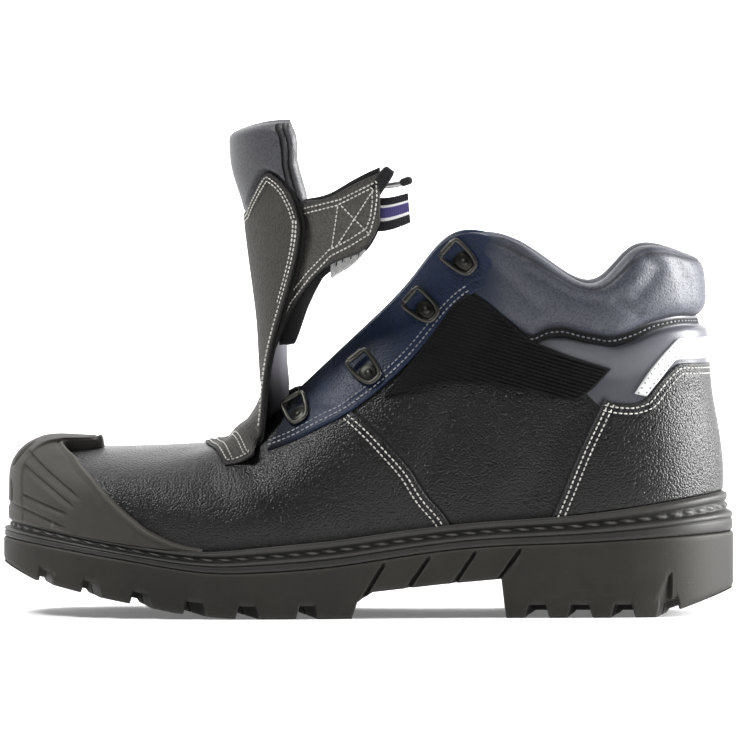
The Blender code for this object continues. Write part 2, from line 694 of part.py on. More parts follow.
def build_loop_patch(finish):
    """Fastener patch on the outer side, filled in between its four edges."""
    s, t = np.linspace(0, 1, 13), np.linspace(0, 1, 7)
    low, high = polyline(PATCH_LOW, s)[:, None], polyline(PATCH_TOP, s)[:, None]
    left, right = polyline(PATCH_LEFT, t)[None], polyline(PATCH_RIGHT, t)[None]
    a, b = s[:, None, None], t[None, :, None]
    low_corners = (1 - a) * low[:1] + a * low[-1:]
    high_corners = (1 - a) * high[:1] + a * high[-1:]
    flat = (1 - b) * (low - low_corners) + b * (high - high_corners) + (1 - a) * left + a * right
    u, v = find(flat.reshape(-1, 2)).T.reshape(2, len(s), len(t))
    sewn_sheet("loop_patch", u, v, PATCH_WALL, finish["loop_fabric"])


# Tongue, flap and strap


def tongue_rows(across):
    """Points of every row of the tongue's front at these shares (-1 to 1) of its width."""
    rows = []
    for r in BASE_ROWS:
        y = TONGUE_MIDDLE_Y + r.half * across
        uv = find_in_plan(np.stack([r.x + r.back * across**2, -np.abs(y)], axis=1))
        u = np.where(y > 0, 1 - uv[:, 0], uv[:, 0])
        rows.append(upper(u, uv[:, 1], r.gap + FLAP_WALL))
    for r in TONGUE_ROWS:
        bow = across**2
        y = TONGUE_MIDDLE_Y + r.half * across
        rows.append(np.stack([r.x + r.sweep * bow, y, r.z - r.hang * bow], axis=1))
    return np.array(rows)


def tongue_front(rows, across, lift):
    """Points on the tongue's front face, or behind it where lift is negative.

    rows counts the table's rows from the flap's base, across is the share of the width.
    """
    table = tongue_rows(across.ravel())
    each = np.arange(across.size)
    at = spline(np.arange(len(table)), table)(rows.ravel())[each, each].reshape(rows.shape + (3,))
    normal = unit(np.cross(np.gradient(at, axis=0), np.gradient(at, axis=1)))
    return at + np.broadcast_to(lift, rows.shape)[..., None] * normal


def build_flap(finish):
    across = np.linspace(-1, 1, 13)
    top = FLAP_TOP_ROW + np.interp(np.abs(across), *zip(*FLAP_TOP))
    rows = np.linspace(0, 1, 17)[:, None] * top
    across = np.broadcast_to(across, rows.shape)
    front, back = (tongue_front(rows, across, lift) for lift in (0.0, -FLAP_WALL))
    sheet_solid("flap", front, back, finish["flap_leather"])


def build_tongue(finish):
    table = np.array(PAD_ROWS)
    rows = np.linspace(table[0, 0], table[-1, 0], 16)[:, None]
    share, front, back = (np.interp(rows, table[:, 0], table[:, k]) for k in (1, 2, 3))
    across = share * np.linspace(-1, 1, 9)
    rows = np.broadcast_to(rows, across.shape)
    faces = (tongue_front(rows, across, lift) for lift in (front, back))
    sheet_solid("tongue", *faces, finish["soft_leather"])


def strap_grid(begin, end, columns, low_shift, high_shift, back):
    """Points of the strap between two places along it, moved towards the foot by back."""
    x = np.linspace(begin, end, columns)
    at = [r.x for r in STRAP_ROWS]
    low, high, out = (spline(at, [getattr(r, k) for r in STRAP_ROWS])(x) for k in ("low", "high", "out"))
    turn = np.gradient(-out, x)
    normal = unit(np.stack([-turn, np.ones_like(x), np.zeros_like(x)], axis=1))
    share = np.linspace(0, 1, 6)
    z = (low - low_shift)[:, None] * (1 - share) + (high - high_shift)[:, None] * share
    flat = np.stack(np.broadcast_arrays(x[:, None], -out[:, None], z), axis=-1)
    return flat + back * normal[:, None]


def build_strap(finish):
    first, last = STRAP_ROWS[0].x, STRAP_ROWS[-1].x
    grids = [strap_grid(first, last, 12, 0, 0, d) for d in (0, STRAP_WALL)]
    sheet_solid("strap", *grids, finish["flap_leather"])
    start = STRAP_WALL + GAP
    grids = [strap_grid(*LINING_SPAN, 10, LINING_BELOW, 3.0, d) for d in (start, start + LINING_WALL)]
    sheet_solid("strap_lining", *grids, finish["loop_fabric"])
    for name, end, z, colour in (
        ("pull_tape", TAPE_END_X, TAPE_Z, "striped_tape"),
        ("keeper_loop", KEEPER_END_X, KEEPER_Z, "loop_fabric"),
    ):
        tape_sheet(name, end, z, finish[colour])


def tape_sheet(name, end, z, finish):
    """Short end of tape that comes out from behind the strap's tip and tilts up."""
    start = LINING_SPAN[1] + 2 * GAP
    x = np.linspace(start, end, 6)
    share = np.linspace(0, 1, 4)
    tilt = TAPE_RISE * (x - start)
    height = z[0] * (1 - share) + z[1] * share + tilt[:, None]
    out = STRAP_WALL + 2 * GAP - STRAP_ROWS[-1].out + TAPE_TURN_IN * (x - start)
    front = np.stack(np.broadcast_arrays(x[:, None], out[:, None], height), axis=-1)
    sheet_solid(name, front, front + (0, TAPE_WALL, 0), finish)


# Lace rings


def lace_ring_mesh(finish):
    """One lace ring: riveted plate, wire frame and the bar that the lace runs round."""
    plate = cutter("ring_plate", *turned_faces(RIVET_PROFILE, RIVET_SIDES), finish)
    half = np.array(RING_HALF_FRAME)
    frame = np.concatenate([half * (1, -1, 1), half[::-1]])
    wire = cutter("ring_wire", *tube_faces(frame, RING_WIRE, RING_WIRE_SIDES), finish)
    cut(plate, wire, "UNION")
    graph = bpy.context.evaluated_depsgraph_get()
    mesh = bpy.data.meshes.new_from_object(plate.evaluated_get(graph))
    shape = bmesh.new()
    shape.from_mesh(mesh)
    bmesh.ops.triangulate(shape, faces=shape.faces)
    shape.to_mesh(mesh)
    shape.free()
    return mesh


def build_lace_rings(finish):
    mesh = lace_ring_mesh(finish["dark_metal"])
    for k, (u, v) in enumerate(find(LACE_RINGS), start=1):
        for side, around in (("outer", u), ("inner", 1 - u)):
            normal = wall_normal(np.array(around), np.array(v))
            place = upper(around, v, SEWN_GAP + LEATHER + RING_LIFT)
            along = LOOPS[3](around + 0.01) - LOOPS[3](around - 0.01)
            ahead = unit(np.cross(normal, along))
            axes = np.stack([ahead, np.cross(normal, ahead), normal], axis=1)
            ring = bpy.data.objects.new(f"lace_ring_{side}_{k}", mesh)
            ring.matrix_world = Matrix.Translation(Vector(place * MM)) @ Matrix(axes.tolist()).to_4x4()
            bpy.context.scene.collection.objects.link(ring)


def make_finish(name):
    colour, roughness, metallic = FINISHES[name]
    made = bpy.data.materials.new(name)
    made.use_nodes = True
    shader = made.node_tree.nodes["Principled BSDF"]
    shader.inputs["Base Color"].default_value = (*colour, 1)
    shader.inputs["Roughness"].default_value = roughness
    shader.inputs["Metallic"].default_value = metallic
    return made


def main():
    for old in list(bpy.data.objects):
        bpy.data.objects.remove(old)
    finish = {name: make_finish(name) for name in FINISHES}
    for build in (
        build_outsole, build_midsole, build_insole, build_upper, build_toe_cap, build_counter,
        build_reflective_band, build_collar, build_eyestays, build_loop_patch, build_flap,
        build_tongue, build_strap, build_lace_rings,
    ):
        build(finish)


main()
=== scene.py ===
"""Looks of the left welding shoe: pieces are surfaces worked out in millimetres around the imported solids.

The toe points to -X, the outer side of the foot to -Y, and +Z is up. The upper is one function of two
numbers, and most pieces are strips of it. The tables repeat the sizes of the solids.
"""

from collections import namedtuple

import bmesh
import bpy
import numpy as np
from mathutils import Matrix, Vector


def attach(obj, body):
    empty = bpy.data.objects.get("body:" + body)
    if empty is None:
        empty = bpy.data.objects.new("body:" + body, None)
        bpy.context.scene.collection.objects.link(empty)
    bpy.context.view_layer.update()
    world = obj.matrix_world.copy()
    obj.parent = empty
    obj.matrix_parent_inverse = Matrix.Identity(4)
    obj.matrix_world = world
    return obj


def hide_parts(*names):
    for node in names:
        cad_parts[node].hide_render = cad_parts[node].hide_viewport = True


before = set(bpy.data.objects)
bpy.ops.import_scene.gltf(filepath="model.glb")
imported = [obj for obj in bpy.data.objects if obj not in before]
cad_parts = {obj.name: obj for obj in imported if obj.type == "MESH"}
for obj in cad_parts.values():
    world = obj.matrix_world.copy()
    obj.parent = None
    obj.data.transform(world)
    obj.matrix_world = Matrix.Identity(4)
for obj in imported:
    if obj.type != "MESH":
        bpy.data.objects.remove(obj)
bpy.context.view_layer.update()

MM = 0.001
WELD = 2e-6  # vertices closer than this are one, in metres

# Sizes of the solids, in millimetres: the lip's height, the welt's width, the upper's wall, a gap
LIP, WELT, WALL, GAP = 4.0, 6.0, 2.4, 0.3
# Side of the sole: x, height of the groove over the outsole, height of the midsole's lip
SideRow = namedtuple("SideRow", "x groove lip")
SIDE_ROWS = (
    SideRow(-156, 32.8, 42.2),
    SideRow(-140, 30.5, 39.0),
    SideRow(-118, 27.1, 34.6),
    SideRow(-96, 23.5, 31.0),
    SideRow(-66, 19.4, 28.6),
    SideRow(-46, 19.6, 30.2),
    SideRow(-16, 21.8, 33.0),
    SideRow(14, 26.0, 37.0),
    SideRow(44, 29.6, 40.2),
    SideRow(89, 31.6, 43.6),
    SideRow(129, 33.9, 49.2),
    SideRow(156, 35.2, 53.6),
)
# Underside of the sole without its lugs' gaps: x and height
GROUND_ROWS = (
    (-156, 22.8), (-140, 15.5), (-112, 8.5), (-82, 2.5), (-66, 0.8), (-54, 0.0), (-7, 0.0), (-4.5, 7.0),
    (2, 11.2), (30, 14.2), (56.5, 16.5), (58.2, 0.0), (121, 0.0), (156, 11.6),
)
# Gaps between lugs: place at the sole's edge, half width, how far they point forward in the middle
LugGap = namedtuple("LugGap", "x half point")
LUG_GAPS = (
    LugGap(-135.5, 3.6, 5),
    LugGap(-117.0, 4.6, 7),
    LugGap(-96.5, 5.0, 5),
    LugGap(-74.6, 5.0, 9),
    LugGap(-52.4, 5.4, 9),
    LugGap(-26.7, 5.0, 9),
    LugGap(70.8, 5.3, -6),
    LugGap(89.0, 5.6, -3),
    LugGap(107.0, 5.4, -6),
    LugGap(125.8, 5.2, -6),
)
Section = namedtuple(
    "Section", "name foot_x foot_out foot_in rise flare top_x top_out top_in top_z reach drop tuck"
)
SECTIONS = (
    Section("toe", -149, -5, 5, 47, 3, -48, -2, 2, 74.5, 0.87, 9.5, 0),
    Section("toe_corner", -140.5, 21, 32, 44, 3, -47.5, 5, 9, 75, 0.88, 12, 0),
    Section("toe_side", -121, 38, 45, 39, 3.5, -45.5, 9.5, 13.5, 77, 0.85, 18, 0),
    Section("tread", -92, 47, 50.5, 33, 4, -40, 12.5, 16.5, 83, 0.78, 25, 0),
    Section("ball", -58, 51, 49, 33, 4.5, -30, 15, 18, 93, 0.62, 33, 0),
    Section("waist", -20, 48, 42, 36, 4, -5, 18, 20, 117, 0.60, 34, 0),
    Section("arch", 18, 41.5, 36.5, 40, 4, 20, 22, 23, 143, 0.5, 40, 0),
    Section("instep", 52, 38, 34.5, 40, 3, 41, 26, 26, 162, 0.3, 44, -2),
    Section("ankle", 85, 37, 36, 38, 3, 74, 31.5, 31.5, 149, 0.2, 42, -4),
    Section("heel_side", 112, 35, 35, 36, 3, 98, 31, 31, 139.5, 0.2, 38, -3),
    Section("heel_turn", 131, 28, 28.5, 34, 3, 113.5, 27, 27, 153, 0.2, 42, -3),
    Section("heel_corner", 143, 16, 16.5, 33, 3.5, 127.5, 16.5, 16.5, 152.5, 0.25, 42, -2),
    Section("heel", 149, 0, 0, 32, 4, 135.5, 0, 0, 149.5, 0.25, 42, -2),
)

# The toe cap's edge over the toe, seen from above: x and y
CAP_BACK = ((-112.2, 2.5), (-112.4, -3.5), (-114.2, -6.6), (-119.0, -8.0), (-124.5, -8.8), (-128.4, -11.5))
# Lines on the upper, seen from the outer side: x and height
CAP_EDGE = (
    (-122.6, 65.0), (-115.6, 58.0), (-104.3, 46.5), (-93.9, 38.0), (-83.0, 32.6), (-76.0, 30.6),
    (-70.0, 29.6),
)
COUNTER_FRONT = ((77.8, 43.0), (83.0, 55.0), (89.5, 71.0), (99.8, 92.0))
COUNTER_TOP = ((99.8, 92.0), (112.6, 90.4), (117.7, 92.0), (127.0, 104.0), (129.5, 106.6))
COUNTER_BACK_Z = 106.6
BAND_LOW = ((117.7, 93.2), (123.0, 99.8), (128.4, 107.9))
BAND_HIGH = ((112.6, 94.5), (120.0, 106.0), (127.6, 117.0))
BAND_BACK_LOW, BAND_BACK_HIGH = 108.2, 117.0
COLLAR_SEAM = (
    (46.0, 136.8), (50.4, 132.6), (58.5, 125.8), (68.5, 118.6), (76.0, 122.2), (84.0, 122.8), (95.2, 120.2),
    (104.0, 118.6), (113.4, 121.0), (122.3, 124.7), (131.5, 126.6),
)
COLLAR_BACK_Z, COLLAR_TOP = 126.4, 1.02
EYESTAY_LOW = (
    (-42.6, 70.3), (-29.0, 75.3), (-12.1, 83.7), (6.6, 97.9), (24.0, 115.2), (35.4, 129.3), (42.6, 135.4),
    (46.0, 137.6), (49.0, 138.8), (54.0, 140.6),
)
PATCH_LEFT = ((6.5, 93.5), (21.5, 112.0), (35.2, 132.0), (41.5, 137.4))
PATCH_TOP = ((41.5, 137.4), (50.4, 133.2), (60.0, 125.2), (68.8, 117.0), (86.2, 110.0), (102.7, 104.8))
PATCH_RIGHT = ((88.0, 91.2), (95.8, 97.2), (102.7, 104.8))
PATCH_LOW = ((6.5, 93.5), (16.0, 95.6), (31.6, 99.0), (52.4, 98.6), (68.0, 95.2), (88.0, 91.2))
VAMP_EDGE = ((-7.8, 88.2), (2.8, 78.7), (11.2, 69.8), (18.9, 60.6), (25.2, 50.9), (32.4, 42.6), (36.0, 36.0))
# Middles of the lace rings: x, height and how far each is turned, in degrees
LACE_RINGS = ((-28.2, 83.6, -12), (0.9, 102.2, 0), (25.4, 129.0, 0), (41.3, 149.6, 40))

# Sections of the flap's front face: x and height of its middle, half width, sweep back and drop of its sides
TongueRow = namedtuple("TongueRow", "x z half sweep hang")
TONGUE_ROWS = (
    TongueRow(-46.8, 91.0, 31, 0.0, 14.0),
    TongueRow(-46.4, 105.0, 29, 1.0, 13.0),
    TongueRow(-47.8, 123.0, 31, 6.0, 9.0),
    TongueRow(-50.0, 143.0, 36, 15.6, 4.0),
    TongueRow(-52.0, 160.0, 40, 22.3, 0.0),
    TongueRow(-54.0, 174.0, 42, 24.0, -3.0),
    TongueRow(-57.0, 188.0, 42.5, 24.0, -6.0),
    TongueRow(-58.2, 201.5, 41, 22.5, -8.0),
)
TONGUE_MIDDLE_Y = 2.0
# Rows of its sewn end, which lies on the vamp: x, half width, sweep back of its sides, gap to the vamp
BaseRow = namedtuple("BaseRow", "x half back gap")
BASE_ROWS = (BaseRow(-69.6, 38, 9.0, 0.2), BaseRow(-61.0, 38, 7.4, 0.4), BaseRow(-55.0, 37.5, 7.4, 2.6))
FLAP_WALL, FLAP_TOP_ROW = 2.0, 7.6
# Its top edge: share of its half width, and rows over FLAP_TOP_ROW
FLAP_TOP = (
    (0.0, 0.06), (0.25, 0.22), (0.5, 0.74), (0.66, 1.10), (0.71, 1.20), (0.76, 1.17), (0.84, 0.95),
    (0.90, 0.70), (0.96, 0.25), (1.0, -0.25),
)
# Its stitches: distances from its edge, and rows across its base
FLAP_ROWS, BASE_STITCHES = (1.8, 3.5), (0.22, 0.56, 1.34, 1.6)
# Sections of the tongue: row of the flap, share of its half width, front and back off the flap's front face
PadRow = namedtuple("PadRow", "row share front back")
PAD_ROWS = (
    PadRow(2.3, 0.46, -2.2, -9.0),
    PadRow(3.1, 0.54, -2.2, -12.0),
    PadRow(4.0, 0.54, -2.2, -12.0),
    PadRow(4.6, 0.58, -2.2, -12.5),
    PadRow(5.4, 0.62, -2.2, -11.5),
    PadRow(6.0, 0.66, -2.2, -10.5),
    PadRow(6.8, 0.72, -2.2, -10.5),
    PadRow(7.3, 0.88, -2.2, -10.8),
    PadRow(7.8, 0.98, -2.2, -11.0),
    PadRow(8.5, 0.95, -2.2, -11.0),
    PadRow(8.9, 0.94, -2.2, -11.2),
    PadRow(9.4, 0.97, -2.2, -10.8),
    PadRow(9.9, 0.98, -2.2, -10.4),
    PadRow(10.32, 0.96, -2.6, -8.8),
)
# Strap: x, heights of its lower and upper edge, and how far out it stands
StrapRow = namedtuple("StrapRow", "x low high out")
STRAP_ROWS = (
    StrapRow(-41.0, 112.0, 170.0, 19.0),
    StrapRow(-34.4, 127.5, 174.5, 27.6),
    StrapRow(-29.0, 136.5, 176.2, 33.5),
    StrapRow(-19.7, 147.0, 177.2, 39.5),
    StrapRow(-8.3, 152.8, 182.6, 43.5),
    StrapRow(1.5, 160.4, 187.2, 45.5),
    StrapRow(4.8, 167.0, 188.6, 46.0),
)
# Its lining past its lower and its upper edge: x and how far
LINING_BELOW = (
    (-41.0, -2.5), (-36.0, 9.2), (-33.4, 14.0), (-32.0, 13.6), (-27.6, 8.0), (-20.6, 2.8), (-8.0, 1.4),
    (5.0, 1.2),
)
LINING_ABOVE = ((-30.0, 0.6), (-20.0, 1.6), (0.0, 2.4), (5.0, 2.4))
# Stitches on the strap, from its side view: two rows round it, a box and a cross
STRAP_STITCHES = (
    ((-27.6, 173.0), (-12.0, 177.0), (3.2, 184.6), (3.6, 178.0), (2.6, 170.4), (0.5, 162.6), (-7.8, 157.4),
     (-15.9, 153.2), (-24.8, 143.9), (-32.6, 133.6), (-38.2, 121.4)),
    ((-27.6, 170.8), (-13.4, 174.5), (1.4, 182.0), (1.7, 176.3), (0.8, 169.4), (-1.0, 164.8), (-8.6, 159.8),
     (-16.7, 155.6), (-25.6, 146.3), (-34.0, 135.6), (-39.8, 123.8)),
    ((-12.9, 174.4), (-15.5, 156.4)),
    ((-11.7, 174.6), (0.2, 162.6)),
    ((2.2, 181.4), (-13.8, 156.6)),
)
# Rows of stitches: distances from the vamp's edge, from the edge of a sewn layer and from the panel's edge
VAMP_ROWS, EDGE_ROWS, PANEL_ROWS = (2.9, 5.2), (2.2, 4.6), (1.8, 4.1)


# Curves


def spline(knots, values, closed=False):
    """Cubic curve through values at knots, straight at its ends. A closed curve repeats with period 1."""
    knots, values = np.asarray(knots, float), np.asarray(values, float)
    if closed:
        knots = np.concatenate([knots - 1, knots, knots + 1])
        values = np.concatenate([values, values, values])
    step = np.diff(knots)
    flat = values.reshape(len(knots), -1)
    slope = np.diff(flat, axis=0) / step[:, None]
    inner = np.arange(1, len(knots) - 1)
    matrix = np.eye(len(knots))
    matrix[inner, inner - 1] = step[:-1]
    matrix[inner, inner] = 2 * (step[:-1] + step[1:])
    matrix[inner, inner + 1] = step[1:]
    right = np.zeros_like(flat)
    right[1:-1] = 6 * np.diff(slope, axis=0)
    bend = np.linalg.solve(matrix, right)

    def curve(at):
        at = np.asarray(at, float)
        if closed:
            at = at % 1.0
        i = np.clip(np.searchsorted(knots, at, side="right") - 1, 0, len(knots) - 2)
        h = step[i][..., None]
        after = (at - knots[i])[..., None] / h
        before = 1 - after
        found = before * flat[i] + after * flat[i + 1]
        found += ((before**3 - before) * bend[i] + (after**3 - after) * bend[i + 1]) * h**2 / 6
        return found.reshape(at.shape + values.shape[1:])

    return curve


def run_of(points):
    """Distance along a line of points, from 0 at its first point."""
    return np.concatenate([[0], np.cumsum(np.linalg.norm(np.diff(points, axis=0), axis=-1))])


def along(points, shares):
    """Points of a broken line at shares (0 to 1) of its length."""
    points = np.asarray(points, float)
    run = run_of(points)
    return np.stack([np.interp(shares, run / run[-1], column) for column in points.T], axis=-1)


def softened(points, count, rounds):
    """A broken line at count even steps; each round moves inner points halfway to their neighbours' mean."""
    line = along(points, np.linspace(0, 1, count))
    for _ in range(rounds):
        line[1:-1] = (line[:-2] + 2 * line[1:-1] + line[2:]) / 4
    return line


def smooth(x):
    """0 below 0, 1 above 1, and an S between."""
    x = np.clip(x, 0, 1)
    return x * x * (3 - 2 * x)


def hump(distance, width):
    """1 on a line and close to 0 two widths away from it."""
    return np.exp(-((distance / width) ** 2))


def unit(vectors):
    """Vectors scaled to length 1."""
    return vectors / np.linalg.norm(vectors, axis=-1, keepdims=True)


def line_distance(places, line):
    """Distance from each place in a plane to a broken line."""
    line = np.asarray(line, float)
    start, run = line[:-1], np.diff(line, axis=0)
    way = places[..., None, :] - start
    share = np.clip((way * run).sum(-1) / (run**2).sum(-1), 0, 1)
    return np.linalg.norm(way - share[..., None] * run, axis=-1).min(-1)


groove_z = spline([r.x for r in SIDE_ROWS], [r.groove for r in SIDE_ROWS])
lip_z = spline([r.x for r in SIDE_ROWS], [r.lip for r in SIDE_ROWS])


# The upper's own surface


def control_loops():
    """The four closed curves that steer the upper: foot, lower handle, upper handle, top edge."""
    half = len(SECTIONS) - 1
    rows = SECTIONS + SECTIONS[-2:0:-1]
    foot_y = [-s.foot_out for s in SECTIONS] + [s.foot_in for s in SECTIONS[-2:0:-1]]
    top_y = [-s.top_out for s in SECTIONS] + [s.top_in for s in SECTIONS[-2:0:-1]]
    foot = np.array([(s.foot_x, y, float(lip_z(s.foot_x)) - LIP) for s, y in zip(rows, foot_y)])
    top = np.array([(s.top_x, y, s.top_z) for s, y in zip(rows, top_y)])
    chord = np.linalg.norm(np.diff(np.vstack([foot, foot[:1]]), axis=0), axis=1)
    mean = (chord[:half] + chord[half:][::-1]) / 2
    share = np.concatenate([[0], np.cumsum(mean)]) / mean.sum() / 2
    knots = np.concatenate([share, 1 - share[-2:0:-1]])
    ahead = np.roll(foot, -1, 0) - np.roll(foot, 1, 0)
    away = unit(np.stack([ahead[:, 1], -ahead[:, 0], np.zeros(len(ahead))], axis=1))
    up = np.array([0, 0, 1.0])
    names = ("rise", "flare", "reach", "drop", "tuck")
    rise, flare, reach, drop, tuck = (np.array([[getattr(s, k)] for s in rows]) for k in names)
    low = foot + rise * up + flare * away
    high = top + reach * (foot - top) * (1, 1, 0) - drop * up + tuck * away
    return [spline(knots, loop, closed=True) for loop in (foot, low, high, top)]


LOOPS = control_loops()
STEP = 1e-4  # of u and v, to measure slopes
UPPER_ROUND = 640.0  # about the way round the upper, for u from 0 to 1
HEEL_U = 0.42  # where the back of the heel begins; its middle is 0.5


def folded(u):
    """u of the same place on the outer half: u itself there, and its mirror image on the inner half."""
    return np.minimum(u % 1, 1 - u % 1)


def wall_point(u, v):
    """Bezier from the foot loop to the top loop. u runs round from the toe by the outer side."""
    foot, low, high, top = (loop(u) for loop in LOOPS)
    t = v[..., None]
    r = 1 - t
    return r**3 * foot + 3 * r**2 * t * low + 3 * r * t**2 * high + t**3 * top


def upper(u, v, lift=0.0):
    """A point on the upper, moved off its outer face by lift along the face's normal."""
    u, v = np.broadcast_arrays(np.asarray(u, float), np.asarray(v, float))
    ahead = wall_point(u + STEP, v) - wall_point(u - STEP, v)
    upward = wall_point(u, v + STEP) - wall_point(u, v - STEP)
    return wall_point(u, v) + np.asarray(lift)[..., None] * unit(np.cross(ahead, upward))


def sample_net(u, v):
    """Samples of the upper at all pairs of u and v, to search in."""
    u, v = (a.ravel() for a in np.meshgrid(u, v, indexing="ij"))
    return u, v, wall_point(u, v)


SIDE_NET = sample_net(np.linspace(0, 0.5, 251), np.linspace(0, 1, 126))
PLAN_NET = sample_net(np.linspace(-0.3, 0.3, 301), np.linspace(0.3, 1, 101))
NEWTON_ROUNDS, MOST_U, MOST_V = 8, 0.002, 0.008  # of a search, and the longest step of a round


def find(points, net=SIDE_NET, axes=(0, 2)):
    """(u, v) on the outer half for places in a side view: nearest of a net of samples, then Newton steps."""
    points = np.asarray(points, float).reshape(-1, 2)
    axes = list(axes)
    best = np.linalg.norm(points[:, None] - net[2][None][..., axes], axis=-1).argmin(1)
    u, v = net[0][best], net[1][best]
    for _ in range(NEWTON_ROUNDS):
        at = wall_point(u, v)[:, axes]
        by_u = (wall_point(u + STEP, v)[:, axes] - at) / STEP
        by_v = (wall_point(u, v + STEP)[:, axes] - at) / STEP
        gap = points - at
        size = by_u[:, 0] * by_v[:, 1] - by_u[:, 1] * by_v[:, 0]
        size = np.where(np.abs(size) < 1.0, 1.0, size)
        new_u = u + np.clip((gap[:, 0] * by_v[:, 1] - gap[:, 1] * by_v[:, 0]) / size, -MOST_U, MOST_U)
        new_v = v + np.clip((by_u[:, 0] * gap[:, 1] - by_u[:, 1] * gap[:, 0]) / size, -MOST_V, MOST_V)
        left = np.linalg.norm(points - wall_point(new_u, new_v)[:, axes], axis=1)
        better = left < np.linalg.norm(gap, axis=1)
        u, v = np.where(better, new_u, u), np.where(better, new_v, v)
    return np.stack([u, v], axis=1)


def find_in_plan(points):
    """(u, v) of the vamp's top under these places in plan; u is below 0 on the inner side."""
    return find(points, PLAN_NET, (0, 1))


def v_at_height(u, z):
    """Where the wall at u first reaches the height z, between two of 241 samples up the wall."""
    u, z = np.broadcast_arrays(np.asarray(u, float), np.asarray(z, float))
    v = np.linspace(0, 1, 241)
    walls = wall_point(u.ravel()[:, None] + 0 * v, v + 0 * u.ravel()[:, None])[..., 2]
    goal = z.ravel()[:, None]
    i = np.clip(np.cumprod(walls < goal, axis=1).sum(1), 1, len(v) - 1)[:, None]
    below, above = np.take_along_axis(walls, i - 1, 1), np.take_along_axis(walls, i, 1)
    share = np.clip((goal - below) / (above - below), 0, 1)
    return ((i - 1 + share) * (v[1] - v[0]))[:, 0].reshape(u.shape)


def v_lip(u):
    """Where the upper comes out of the rubber lip."""
    return v_at_height(u, lip_z(LOOPS[0](u)[..., 0]) + GAP)


def inner_side(uv):
    """The same places on the inner half."""
    return np.stack([1 - uv[:, 0], uv[:, 1]], axis=1)


def round_heel(grid, flip=False):
    """A grid from the outer side carried on round the heel, with u counted back where flip is set."""
    return np.concatenate([grid, (1 - grid if flip else grid)[-2::-1]])


# Meshes


def grid_quads(rows, columns, round_rows=False, round_columns=False, start=0):
    """Four corners of every cell of a grid; a round direction joins its last line to its first."""
    index = start + np.arange(rows * columns).reshape(rows, columns)
    if round_rows:
        index = np.vstack([index, index[:1]])
    if round_columns:
        index = np.hstack([index, index[:, :1]])
    return np.stack([index[:-1, :-1], index[1:, :-1], index[1:, 1:], index[:-1, 1:]], axis=-1).reshape(-1, 4)


def back_columns(columns, step):
    """Columns that a sheet's back has of its front's: one in every step, and the last."""
    return np.unique(np.append(np.arange(0, columns, step), columns - 1))


def closed_sheet(front, back, step=1):
    """Vertices and faces of the sheet between two grids of the same size, closed along its rim.

    A back that doesn't show keeps one column in every step.
    """
    rows, columns = front.shape[:2]
    kept = back_columns(columns, step)
    ahead = np.arange(rows * columns).reshape(rows, columns)
    behind = ahead.size + np.arange(rows * len(kept)).reshape(rows, len(kept))
    faces = [grid_quads(rows, columns), grid_quads(rows, len(kept), start=ahead.size)[:, ::-1]]
    faces.append(np.stack([ahead[1:, 0], ahead[:-1, 0], behind[:-1, 0], behind[1:, 0]], axis=1))
    faces.append(np.stack([ahead[:-1, -1], ahead[1:, -1], behind[1:, -1], behind[:-1, -1]], axis=1))
    for k, (start, stop) in enumerate(zip(kept[:-1], kept[1:])):
        faces.append(np.append(ahead[0, start : stop + 1], behind[0, [k + 1, k]])[None])
        faces.append(np.append(ahead[-1, start : stop + 1][::-1], behind[-1, [k, k + 1]])[None])
    return np.concatenate([front.reshape(-1, 3), back[:, kept].reshape(-1, 3)]), faces


def on_both(value, step=1):
    """A value painted on a sheet's front, and on its back."""
    return np.append(value, value[:, back_columns(value.shape[1], step)])


def closed_tube(rings):
    """Vertices and faces of a stack of closed rings, with a fan over the first and the last."""
    count, around = rings.shape[:2]
    middles = np.stack([rings[0].mean(0), rings[-1].mean(0)])
    first = np.arange(around)
    last = first + (count - 1) * around
    fans = [
        np.stack([np.roll(first, -1), first, np.full(around, count * around)], axis=1),
        np.stack([last, np.roll(last, -1), np.full(around, count * around + 1)], axis=1),
    ]
    verts = np.concatenate([rings.reshape(-1, 3), middles])
    return verts, [grid_quads(count, around, round_columns=True)[:, ::-1], *fans]


def zipped_tube(rings):
    """Vertices and faces of a stack of flat rings, the end rings closed straight across from side to side.

    Places round a ring are in mirrored pairs; the first and the one half way round stand alone.
    """
    count, around = rings.shape[:2]
    i = np.arange(1, around // 2 - 1)
    quads = np.stack([i, i + 1, around - i - 1, around - i], axis=1)
    corners = np.array([(0, 1, around - 1), (around // 2 - 1, around // 2, around // 2 + 1)])
    last = (count - 1) * around
    sides = grid_quads(count, around, round_columns=True)[:, ::-1]
    return rings.reshape(-1, 3), [sides, quads[:, ::-1], corners[:, ::-1], quads + last, corners + last]


def edge_distance(grid, first=True, last=True, low=True, high=True):
    """Distance along rows and columns to the nearest edge of a grid; an edge may be left out."""
    def runs(axis):
        steps = np.linalg.norm(np.diff(grid, axis=axis), axis=-1)
        pad = [(0, 0), (0, 0)]
        pad[axis] = (1, 0)
        run = np.cumsum(np.pad(steps, pad), axis=axis)
        return run, np.take(run, [-1], axis=axis) - run

    (from_first, from_last), (from_low, from_high) = runs(0), runs(1)
    edges = ((from_first, first), (from_last, last), (from_low, low), (from_high, high))
    return np.minimum.reduce([distance for distance, used in edges if used])


def edged(count, tight=(0.001, 0.003, 0.006, 0.012, 0.022)):
    """Shares from 0 to 1 in even steps, with more of them close to both ends."""
    tight = np.array(tight)
    return np.unique(np.concatenate([np.linspace(0, 1, count), tight, 1 - tight]))


def rolled(distance, radius):
    """Height of a rounded edge as a share of its radius: a quarter circle, then level."""
    near = np.clip(1 - distance / radius, 0, 1)
    return np.sqrt(1 - near**2)


